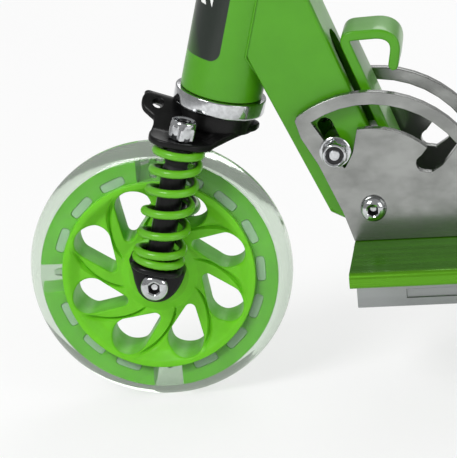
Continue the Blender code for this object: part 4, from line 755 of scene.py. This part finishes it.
# A dropout's seat and lug: the share of the outline that each level has, and the lug's outline
# in millimetres
SEAT_SHARES = (0.001, 0.93, 0.985, 1.0, 0.985, 0.93, 0.001)
SEAT_LEVELS = (0.0087, 0.0087, 0.0092, 0.0102, 0.0112, 0.0117, 0.0117)
LUG_EDGE = ((-15.6, 8.6), (-16.6, 11.0), (-15.6, 13.2), (-13.2, 13.0), (-11.0, 11.7), (0, 11.6),
            (12.4, 11.7), (14.4, 9.4), (14.1, 5.0), (12.6, 0.0), (9.2, -5.6), (3.4, -9.3),
            (-2.4, -9.6), (-7.6, -6.6), (-11.2, -1.2), (-13.6, 4.6), (-15.6, 8.6))
LUG_SHARES = (0.001, 0.80, 0.90, 0.965, 1.0, 1.0, 0.97, 0.001)
LUG_LEVELS = (0.0340, 0.0340, 0.0336, 0.0326, 0.0305, 0.0205, 0.0190, 0.0190)


def dropout_grids(side):
    """Grids of a dropout along the column: the spring seat, whose plan is a superellipse raised
    to 0.75, and the bowl-shaped lug round the axle."""
    seat = closed_stack(superellipse(96, 0.0142, 0.0138, 0.75), 0, SEAT_SHARES, SEAT_LEVELS)
    lug = closed_stack(flowing_line(LUG_EDGE, 110)[:-1], 0.001 + 0.001j, LUG_SHARES, LUG_LEVELS)
    return [seat + sided(LEG, side), sided(lug[..., [0, 2, 1]], side) + (-0.014, 0.0, 0.0)]


# Outline of the fork crown's left half in millimetres, from the front to the rear
CROWN_EDGE = ((-35.6, 0), (-38.6, -2.4), (-40.0, -5.6), (-38.8, -9.0), (-35.2, -11.4),
              (-31.6, -13.8), (-30.8, -17.5), (-31.2, -23), (-31.5, -29), (-30.6, -34),
              (-27, -37.8), (-21, -39.4), (-13, -39.3), (-6.5, -37.2), (-1.5, -33),
              (4.5, -25.5), (12, -15.5), (18.8, -7), (21.8, -3.5), (22.8, 0))


def crown_grids(half=0.0019, lip=0.0011):
    """Grids of the fork crown: a bent sheet with round holes. Its height over its plan is the
    pads' level plus the ridge's rise, less the share of the way down to the pads, which is longer
    behind the legs and rounded over the ridge. The plan is cut into one cell round each hole, and
    a half-round wall closes its outline."""
    def middle(place):
        rise = 0.0087 + 0.0046 * (0.0228 - place.real) / 0.054
        back = np.clip((place.real + 0.006) / 0.010, 0.0, 1.0)
        span = 0.022 + 0.010 * back * back * (3 - 2 * back)
        across = np.minimum(1.0, np.abs(place.imag) / span)
        return 0.0840 - half + rise * (1 - (np.hypot(across, 0.12) - 0.12) / 0.887)

    def cell(centre, hole, runs):
        """The plate between a round hole and an edge that is made up of runs."""
        edge = np.concatenate([run[:-1] for run in runs])
        opening = centre + hole * np.exp(1j * np.angle(edge - centre))
        grid = around_opening(opening, edge, lambda plan: half, lip / 2)
        grid[..., 2] += middle(grid[..., :2] @ (1.0, 1.0j))
        return np.concatenate([grid, grid[:1]])

    edge = flowing_line(CROWN_EDGE, 116)
    notch = int(np.argmin(np.abs(edge - (-0.0314 - 0.0142j))))
    rear = int(np.argmin(np.abs(edge - (0.0082 - 0.0206j))))
    inner, front = -0.0235 - 0.0130j, -0.0235 + 0j
    bend = flowing_line([(edge[rear].real * 1000, edge[rear].imag * 1000), (0, -22), (-12, -20.8),
                         (-20, -17), (-23.5, -13)], 30)
    to_notch, to_front = np.linspace(inner, edge[notch], 9), np.linspace(inner, front, 9)
    pad = cell(-0.015 - 0.030j, 0.0043, [edge[notch:rear + 1], bend, to_notch])
    tab = cell(-0.0320 - 0.0064j, 0.0031, [edge[:notch + 1], to_notch[::-1], to_front,
                                          np.linspace(front, edge[0], 9)])
    near = np.concatenate([to_front[::-1], bend[::-1][1:], edge[rear + 1:]])
    centre = cell(0j, HOLE, [near, near[::-1].conj()])
    whole = np.concatenate([edge, edge[-2::-1].conj()])
    way = np.roll(whole[:-1], -1) - np.roll(whole[:-1], 1)
    out = np.append(way, way[0]) * -1j
    turn = np.linspace(0.0, math.pi / 2, 5)
    away = lip * np.sin(np.append(turn, turn[::-1]))
    drop = half - lip * (1 - np.cos(turn))
    place = whole[:, None] + (out / np.abs(out))[:, None] * away
    wall = lifted(place, middle(place) + np.append(drop, -drop[::-1]))
    return [pad, sided(pad, -1), tab, sided(tab, -1), centre, wall]


class SCOOTER_OT_fork(bpy.types.Operator):
    """Pressed fork crown, dropouts, and the legs' rubber boots, folded by a cosine wave of 4 mm"""
    bl_idname = "scooter.fork"
    bl_label = "Fork"

    def execute(self, context):
        _, colours = chosen(context)
        black, rubber = black_enamel(colours.black), moulded_rubber(colours.rubber)
        fine("fork_crown", "steering", COLUMN, crown_grids(), black, "black_paint", sharp=50.0)
        boss = [(HOLE, 0.0872), (0.0205, 0.0872), (0.0205, 0.0967), (HOLE, 0.0967),
                (HOLE, 0.0872)]
        piece("crown_boss", "steering", COLUMN, [spun(eased(boss, 0.0005))], black, "black_paint")
        low, high = 0.0674, 0.0799
        level = np.linspace(low, high, 49)
        fold = 0.0064 + 0.0003 * np.cos((level - low) * 2 * math.pi / 0.004)
        boot = spun([(0.0043, low), *zip(fold, level), (0.0043, high), (0.0043, low)], 48)
        for name, side, _ in SIDES:
            fine(f"dropout_{name}", "fork_lower", COLUMN, dropout_grids(side), black,
                 "black_paint", sharp=50.0)
        for name, side, _ in SIDES:
            made = piece(f"leg_boot_{name}", "steering", COLUMN, [boot + sided(LEG, side)], rubber,
                         "black_rubber")
            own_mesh(made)
        return {"FINISHED"}


# Turns of a fork spring from the outer side of its leg, and their heights along the column
COIL_TURNS = (-0.35, 0.0, 0.5, 1.0, 2.0, 3.0, 4.0, 5.0, 6.0, 6.35)
COIL_LEVELS = (0.0143, 0.0148, 0.0165, 0.0200, 0.0312, 0.0437, 0.0560, 0.0672, 0.0773, 0.0777)


class SCOOTER_OT_springs(bpy.types.Operator):
    """Fork springs, lock spring and brake spring"""
    bl_idname = "scooter.springs"
    bl_label = "Springs"

    def execute(self, context):
        sizes, colours = chosen(context)
        coat, bare = coil_enamel_with_painted_shade(colours.coil), zinc_plate(colours.steel)
        wire, under_crown = sizes.spring_wire, 0.0792
        for name, side, _ in SIDES:
            local = coil(sizes.spring_radius, wire, COIL_TURNS, COIL_LEVELS, side * math.pi / 2,
                         sided(LEG, side))
            # U carries the painted shade on the inner side of the spring's wire
            outer = np.cos(np.linspace(0.0, 2 * math.pi, local.shape[1]))[:, None] * (1.0, 0.0)
            made = fine(f"spring_{name}", "steering", COLUMN, [local], coat, "green_paint",
                        uv=np.broadcast_to(outer, (*local.shape[:2], 2)))
            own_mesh(made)
        local = coil(0.0042, wire=0.0012, turns=(0.0, 4.0), levels=(0.0084, 0.0344), sides=8)
        made = fine("lock_spring", "beam", (LOCK, leaning(HOOK_UP)), [local], bare, "steel")
        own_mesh(made)
        local = coil(0.0045, wire=0.0016, turns=(0.0, 3.0), levels=(0.0, 0.0078), sides=8)
        fine("brake_spring", "frame", (BRAKE_PIN + (0.0, 0.0039, 0.0), FROM_LEFT), [local], bare,
             "steel")
        return {"FINISHED"}


def nut_rows(flats, flange=0.0, collar=0.0093, bore=0.0041, rim=0.92, cup=0.66, end=0.0):
    """Rows of a locking nut that stands on z = 0: an optional flange, hexagon with chamfers,
    rolled collar and the recess over the bolt's end. rim, cup and end are the radii of collar,
    recess and bolt end as shares of half the width across flats."""
    half, none = flats / 2, 1.0
    rim, cup, end = half * rim, half * cup, half * end
    floor, base = collar * 0.70, 0.0
    rows = [(bore, 0.0, none)]
    if flange:
        base = 0.0015
        rows += [(flange * 0.97, 0.0, none), (flange, 0.0003, none), (flange, 0.0012, none),
                 (flange * 0.95, base, none)]
    rows += [(half * 0.98, base, half), (half * 1.13, base + 0.0006, half),
             (half * 1.13, collar * 0.62, half), (half * 1.06, floor, half),
             (rim + half * 0.01, collar * 0.73, none), (rim, collar * 0.88, none),
             (rim * 0.8 + cup * 0.2, collar * 0.97, none), ((rim + cup) / 2, collar, none),
             (rim * 0.2 + cup * 0.8, collar * 0.98, none), (cup, collar * 0.93, none),
             (cup, floor, none)]
    if end:
        return rows + [(end, floor, none), (end, collar * 0.90, none),
                       (end * 0.85, collar * 0.96, none), (0.0, collar * 0.97, none)]
    return rows + [(bore, floor, none), (bore, 0.0, none)]


def bolt_rows(shank, long, head, high):
    """Rows of a button-head bolt whose head stands on z = 0: hexagon socket, domed head, shank."""
    socket, none = head * 0.40, 1.0
    dome = np.array(((0.60, 0.96), (0.78, 0.82), (0.92, 0.58), (0.985, 0.30), (1.0, 0.12),
                     (0.985, 0.0))) * (head, high)
    return [(0.0, high * 0.12, socket), (socket * 0.8, high * 0.16, socket),
            (1.0, high * 0.22, socket), (1.0, high * 0.92, socket), (socket * 1.30, high, none),
            *[(radius, level, none) for radius, level in dome], (shank, 0.0, none),
            (shank, -long + 0.0006, none), (shank - 0.0006, -long, none), (0.0, -long, none)]


class SCOOTER_OT_fasteners(bpy.types.Operator):
    """Locking nuts and button-head bolts"""
    bl_idname = "scooter.fasteners"
    bl_label = "Nuts and bolts"

    def execute(self, context):
        sizes, colours = chosen(context)
        chrome, nylon = bright_chrome(colours.chrome), moulded_rubber(colours.rubber, "nylon ring")
        socket_shade_paint = black_enamel(colours.black, "painted socket shade")
        shank, flats = sizes.bolt / 2, sizes.flats
        on_crown = (0.0, 0.0, 0.0843)
        leg = spun(nut_rows(flats * 1.08, collar=0.0104, rim=1.03, cup=0.70)) + on_crown
        lock = spun(nut_rows(flats, flange=0.0085, collar=0.0085, bore=0.0, rim=1.02, cup=0.75,
                             end=0.47))
        plain = spun(nut_rows(flats, collar=0.0065, bore=shank + GAP))
        ring = spun(np.array(((3.1, 6.0), (4.75, 6.0), (4.75, 7.2), (3.1, 7.2), (3.1, 6.0))) / 1000)
        # A dark ring of painted shade standing in each hex socket: its radius and height, as shares
        # of the bolt head's
        socket_shade_ring = np.array(((0.22, 0.26), (0.38, 0.26), (0.38, 0.86), (0.34, 0.86), (0.22, 0.26)))
        rear = sided(JOINTS["rear_wheel_left_spin"]["pos_m"], 0)
        # How far from the middle plane the heads and nuts of the two axles stand
        front_face, rear_face = 0.0343, 0.0723

        def metal(node, body, place, grid):
            """A chrome-plated nut or bolt."""
            fine(node, body, place, [grid], chrome, "chrome", sharp=28.0)

        def beside(middle, side, face):
            """The place of a head or nut that looks out on its side."""
            return middle + sided((0.0, face, 0.0), side), FROM_LEFT if side < 0 else FROM_RIGHT

        for name, side, _ in SIDES:
            metal(f"leg_nut_{name}", "fork_lower", COLUMN, leg + sided(LEG, side))
            place = beside(LOCK, side, PLATE_FACE)
            metal(f"lock_nut_{name}", "lock_hook", place, lock)
            piece(f"lock_ring_{name}", "lock_hook", place, [ring], nylon, "black_rubber",
                  sharp=28.0)
            metal(f"rear_axle_nut_{name}", "frame", beside(rear, side, rear_face), plain)
        for name, body, middle, face, long, head, high in (
                ("front_axle", "fork_lower", AXLE, front_face, 0.0771, 0.0078, 0.0040),
                ("fold_pivot_bolt", "frame", PIVOT, PLATE_FACE, 0.0626, 0.00715, 0.0050)):
            place = beside(middle, -1, face)
            metal(name, body, place, spun(bolt_rows(shank, long, head, high)))
            # Painted shade: a black ring inside the chrome socket, where the socket's walls lie in
            # shade
            piece(f"{name}_socket", body, place, [spun(socket_shade_ring * (head, high))], socket_shade_paint,
                  "black_paint")
        metal("front_axle_nut", "fork_lower", beside(AXLE, 1, front_face), plain)
        metal("fold_pivot_nut", "frame", beside(PIVOT, 1, PLATE_FACE), plain)
        return {"FINISHED"}


# Middle line of the hook's strip in millimetres, behind and above the front axle
HOOK_LINE = ((134.1, 63.2), (109.8, 129.0), (132.5, 129.9), (138.7, 124.2), (136.3, 111.9))


class SCOOTER_OT_hook(bpy.types.Operator):
    """Pull hook of the lock: a rounded section along a bent line, and its arm into the beam"""
    bl_idname = "scooter.hook"
    bl_label = "Lock hook"

    def execute(self, context):
        _, colours = chosen(context)
        path = eased(np.array(HOOK_LINE) / 1000.0, 0.0062, 10) @ (1.0, 1.0j)
        path = np.concatenate([np.linspace(path[0], path[1], 20)[:-1], path[1:]])
        way = np.gradient(path)
        way /= np.abs(way)
        round_end = np.linspace(0.0, 1.0, 7)[1:]
        tip = path[-1] + way[-1] * 0.0027 * round_end
        path = np.concatenate([path[:1], path, tip, tip[-1:]])
        way = np.concatenate([way[:1], way, way[-1:].repeat(7)])
        thin = np.concatenate([[0.0], np.ones(len(path) - 8), np.sqrt(1 - round_end ** 2), [0.0]])
        thin = np.maximum(thin, 0.001)
        wide = np.concatenate([[0.001], np.ones(len(path) - 2), [0.001]])
        side, face = 0.015, 0.00275
        section = eased([(-side, 0.0), (-side, face), (side, face), (side, -face), (-side, -face),
                         (-side, 0.0)], 0.0016, 5)
        place = path[:, None] + (way * 1j * thin)[:, None] * section[:, 1]
        strip = lifted(place, section[:, 0] * wide[:, None])[..., [0, 2, 1]]
        turn = np.linspace(math.pi / 2, 1.5 * math.pi, 24)
        seat = 0.10302 + 0.0692j
        edge = np.append([0.1321 + 0.0652j, 0.1301 + 0.0752j], seat + 0.0075 * np.exp(1j * turn))
        arm = closed_stack(edge, seat + 0.01, (0.001, 0.94, 1.0, 1.0, 0.94, 0.001),
                           (-0.008, -0.008, -0.0074, 0.0074, 0.008, 0.008))[..., [0, 2, 1]]
        fine("lock_hook", "lock_hook", (AXLE, np.eye(3)), [strip, arm],
             gloss_enamel(colours.paint), "green_paint", sharp=50.0)
        return {"FINISHED"}


class SCOOTER_OT_head(bpy.types.Operator):
    """Head tube with its panel, cups, column, and a weld bead that a sine of 1.9 mm ripples"""
    bl_idname = "scooter.head"
    bl_label = "Head tube"

    def execute(self, context):
        sizes, colours = chosen(context)
        chrome, enamel = bright_chrome(colours.chrome), gloss_enamel(colours.paint)
        outer, bore, low, high, round_off = sizes.tube_radius, 0.0195, 0.1063, 0.2213, 0.0006
        local = spun([(bore, low), (outer - round_off, low), (outer, low + round_off),
                      *[(outer, level) for level in np.linspace(low, high, 40)[1:-1]],
                      (outer, high - round_off), (outer - round_off, high), (bore, high),
                      (bore, low)], 128, math.pi)
        half = math.pi * outer * 1000.0
        around = np.linspace(-half, half, 129)
        around = np.where(around > 0, around - half, around + half)
        uv = np.stack([around[:, None] + 0 * local[..., 0], local[..., 2] * 1000.0], axis=-1)
        fine("head_tube", "beam", COLUMN, [local], panel_enamel(colours.paint, colours.panel),
             "green_paint", uv=uv)
        lower = [(HOLE, 0.1150), (0.0192, 0.1150), (0.0192, 0.1060), (0.0250, 0.1060),
                 (0.0250, 0.0982), (0.0240, 0.0970), (HOLE, 0.0970), (HOLE, 0.1150)]
        upper = [(HOLE, 0.2306), (0.0200, 0.2306), (0.0250, 0.22655), (0.0250, 0.2216),
                 (0.0192, 0.2216), (0.0192, 0.2126), (HOLE, 0.2126), (HOLE, 0.2306)]
        for name, section in (("lower_headset_cup", lower), ("upper_headset_cup", upper)):
            fine(name, "beam", COLUMN, [spun(eased(section, 0.0007), 112)], chrome, "chrome")
        column = [(0.0150, 0.3300), (0.0170, 0.3300), (0.0170, 0.0870), (0.0150, 0.0870),
                  (0.0150, 0.3300)]
        fine("steerer_tube", "steering", COLUMN, [spun(eased(column, 0.0004))], enamel,
             "green_paint")
        # The bead runs round under the beam and up both its sides, which meet the tube here
        behind_middle = 0.0103
        side = math.acos(behind_middle / outer)
        bow = (outer + 0.0002) * np.exp(1j * np.linspace(-side, side, 90))
        under = lifted(bow, 0.1180 - 1.2505 * (bow.real - 0.02214))
        climb, top = np.linspace(0.0, 1.0, 120)[:, None], 0.206
        start = under[0] + climb[::-1] * (0.0, 0.0, top - under[0, 2])
        stop = under[-1] + climb * (0.0, 0.0, top - under[-1, 2])
        path = np.vstack([start[:-1], under, stop[1:]])
        run = np.concatenate([[0.0], np.cumsum(np.linalg.norm(np.diff(path, axis=0), axis=1))])
        ripple = sizes.bead / 2 * (1.0 + 0.10 * np.sin(run * 2 * math.pi / 0.0019))
        piece("weld_bead", "beam", COLUMN, [tube_along(path, ripple, (1.0, 0.0, 0.3), 10)], enamel,
              "green_paint", sharp=60.0)
        return {"FINISHED"}


class SCOOTER_OT_grips(bpy.types.Operator):
    """Handlebar grips, ribbed by a squared cosine wave of 4.5 mm, and the deck's abrasive sheet"""
    bl_idname = "scooter.grips"
    bl_label = "Grips and mat"

    def execute(self, context):
        sizes, colours = chosen(context)
        outer, end, start = sizes.grip_radius, 0.1533, 0.0483
        level = np.linspace(start + 0.006, end - 0.010, 260)
        rib = outer - 0.0009 * (0.5 - 0.5 * np.cos(2 * math.pi * (level - level[0]) / 0.0045)) ** 2
        local = spun([(0.0, end - 0.0030), (0.0113, end - 0.0030), (0.0113, start),
                      (0.0200, start), (0.0205, start + 0.0006), (0.0205, start + 0.0026),
                      (0.0195, start + 0.0034), (outer + 0.0006, start + 0.0042),
                      *zip(rib, level), (outer, end - 0.0080), (outer, end - 0.0030),
                      (outer - 0.0012, end - 0.0008), (outer - 0.0034, end), (0.0, end)], 72)
        for name, _, axes in SIDES:
            fine(f"grip_{name}", "handlebar", (STEER_AT + STEER_UP * 0.610, axes), [local],
                 moulded_rubber(colours.rubber), "black_rubber", sharp=50.0)
        dress("grip_mat", grit_sheet(colours.rubber), 0.0003)
        return {"FINISHED"}


class SCOOTER_OT_finishes(bpy.types.Operator):
    """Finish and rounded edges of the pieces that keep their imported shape"""
    bl_idname = "scooter.finishes"
    bl_label = "Pressed and machined pieces"

    def execute(self, context):
        sizes, colours = chosen(context)
        steel = zinc_plate(colours.steel)
        for nodes, material, share in (
                ("down_tube crossbar", gloss_enamel(colours.paint), 1.0),
                ("deck", deck_enamel(colours.deck, colours.edge), 0.8),
                ("under_frame", mill_aluminium(colours.channel), 0.8),
                ("fold_plate_left fold_plate_right", steel, 1.0),
                ("lock_pin brake_pin rear_axle axle_spacer_left axle_spacer_right "
                 "pivot_washer_left pivot_washer_right front_bearing_left front_bearing_right "
                 "rear_bearing_left_outer rear_bearing_left_inner rear_bearing_right_outer "
                 "rear_bearing_right_inner", steel, 0.6),
                ("inner_tube clamp_bolt", bright_chrome(colours.chrome), 0.6),
                ("leg_rod_left leg_rod_right rear_bracket brake_fender clamp_collar clamp_lever",
                 black_enamel(colours.black), 1.0)):
            dress(nodes, material, sizes.edge * share)
        return {"FINISHED"}


def seen(tree):
    """1 for what the eye sees, straight or through the clear tyres, and 0 for the rest."""
    path = add_node(tree, "LightPath").outputs
    return result(tree, "MAXIMUM", path["Is Camera Ray"], path["Is Transmission Ray"])


def held(name, data, place, view, right):
    """A linked object that holds a lamp or a camera: it looks along view from its place, with
    right to its right."""
    view = view / np.linalg.norm(view)
    right = right - view * (right @ view)
    right /= np.linalg.norm(right)
    turn = np.eye(4)
    turn[:3] = np.stack([right, np.cross(right, view), -view, place], axis=1)
    made = bpy.data.objects.new(name, data)
    bpy.context.scene.collection.objects.link(made)
    made.matrix_world = mathutils.Matrix(turn.tolist())
    return made


class SCOOTER_OT_stage(bpy.types.Operator):
    """Floor, studio light and camera"""
    bl_idname = "scooter.stage"
    bl_label = "Studio"

    def execute(self, context):
        scene, (_, colours) = context.scene, chosen(context)
        white = (1.0, 1.0, 1.0, 1.0)
        scene.view_settings.view_transform = "Standard"
        scene.world = bpy.data.worlds.new("studio")
        scene.world.use_nodes = True
        tree = scene.world.node_tree
        level = ramp(tree, seen(tree), 0.0, 1.0, 0.5, 1.0)
        glossy = add_node(tree, "LightPath").outputs["Is Glossy Ray"]
        back = tree.nodes["Background"]
        back.inputs[0].default_value = white
        tree.links.new(ramp(tree, glossy, 0.0, 1.0, level, 0.36), back.inputs[1])

        paper, tree, shader = new_material("paper floor", Base_Color=colours.floor, Roughness=0.9)
        glow = add_node(tree, "Emission", {"Color": white, "Strength": 1.0})
        share = result(tree, "MULTIPLY", seen(tree), 0.65)
        both = add_node(tree, "MixShader", {0: share, 1: shader.outputs[0], 2: glow.outputs[0]})
        tree.links.new(both.outputs[0], tree.nodes["Material Output"].inputs[0])
        side = np.linspace(-40.0, 40.0, 9)
        corners = lifted(side[:, None] + 1j * side, -0.0002).reshape(-1, 3)
        placed_mesh("floor", corners, quads(np.arange(81).reshape(9, 9)), paper)

        lit_point = (0.0, 0.0, 0.2)
        for name, place, power, size in (("key", (-1.1, -1.5, 1.7), 30.0, 0.9),
                                         ("fill", (1.6, -1.2, 0.9), 9.0, 1.2),
                                         ("back", (0.3, 1.7, 1.5), 14.0, 1.4)):
            lamp = bpy.data.lights.new(name, "AREA")
            lamp.energy, lamp.size = power, size
            view = np.array(lit_point) - place
            held(name, lamp, place, view, np.cross(view, (0.0, 0.0, 1.0)))

        camera = bpy.data.cameras.new("camera")
        camera.lens, camera.sensor_width = 353.7, 36.0
        camera.clip_start, camera.clip_end = 0.1, 50.0
        scene.camera = held("camera", camera, (0.08655, -2.3316, 0.8265),
                            np.array((-0.1175, 0.9472, -0.2982)),
                            np.array((0.992, 0.0979, -0.0799)))
        return {"FINISHED"}


OPERATORS = (SCOOTER_OT_front_wheel, SCOOTER_OT_rear_wheels, SCOOTER_OT_fork,
             SCOOTER_OT_springs, SCOOTER_OT_fasteners, SCOOTER_OT_hook, SCOOTER_OT_head,
             SCOOTER_OT_grips, SCOOTER_OT_finishes, SCOOTER_OT_stage)


class SCOOTER_PT_finish(bpy.types.Panel):
    """Lists the pieces, sizes and colours"""
    bl_idname = "SCOOTER_PT_finish"
    bl_label = "Kick scooter"
    bl_space_type = "VIEW_3D"
    bl_region_type = "UI"
    bl_category = "Scooter"

    def draw(self, context):
        for made in OPERATORS:
            self.layout.operator(made.bl_idname)
        for group in chosen(context):
            box = self.layout.box()
            for key in group.__annotations__:
                box.prop(group, key)


CLASSES = (ScooterSizes, ScooterColours, *OPERATORS, SCOOTER_PT_finish)


def register():
    """Adds the classes and the two groups of settings."""
    for made in CLASSES:
        bpy.utils.register_class(made)
    bpy.types.Scene.scooter_sizes = bpy.props.PointerProperty(type=ScooterSizes)
    bpy.types.Scene.scooter_colours = bpy.props.PointerProperty(type=ScooterColours)


def unregister():
    """Takes the settings and the classes out again."""
    del bpy.types.Scene.scooter_sizes
    del bpy.types.Scene.scooter_colours
    for made in reversed(CLASSES):
        bpy.utils.unregister_class(made)


def main():
    """Makes every piece."""
    register()
    bpy.ops.scooter.front_wheel()
    bpy.ops.scooter.rear_wheels()
    bpy.ops.scooter.fork()
    bpy.ops.scooter.springs()
    bpy.ops.scooter.fasteners()
    bpy.ops.scooter.hook()
    bpy.ops.scooter.head()
    bpy.ops.scooter.grips()
    bpy.ops.scooter.finishes()
    bpy.ops.scooter.stage()


if __name__ == "__main__":
    main()
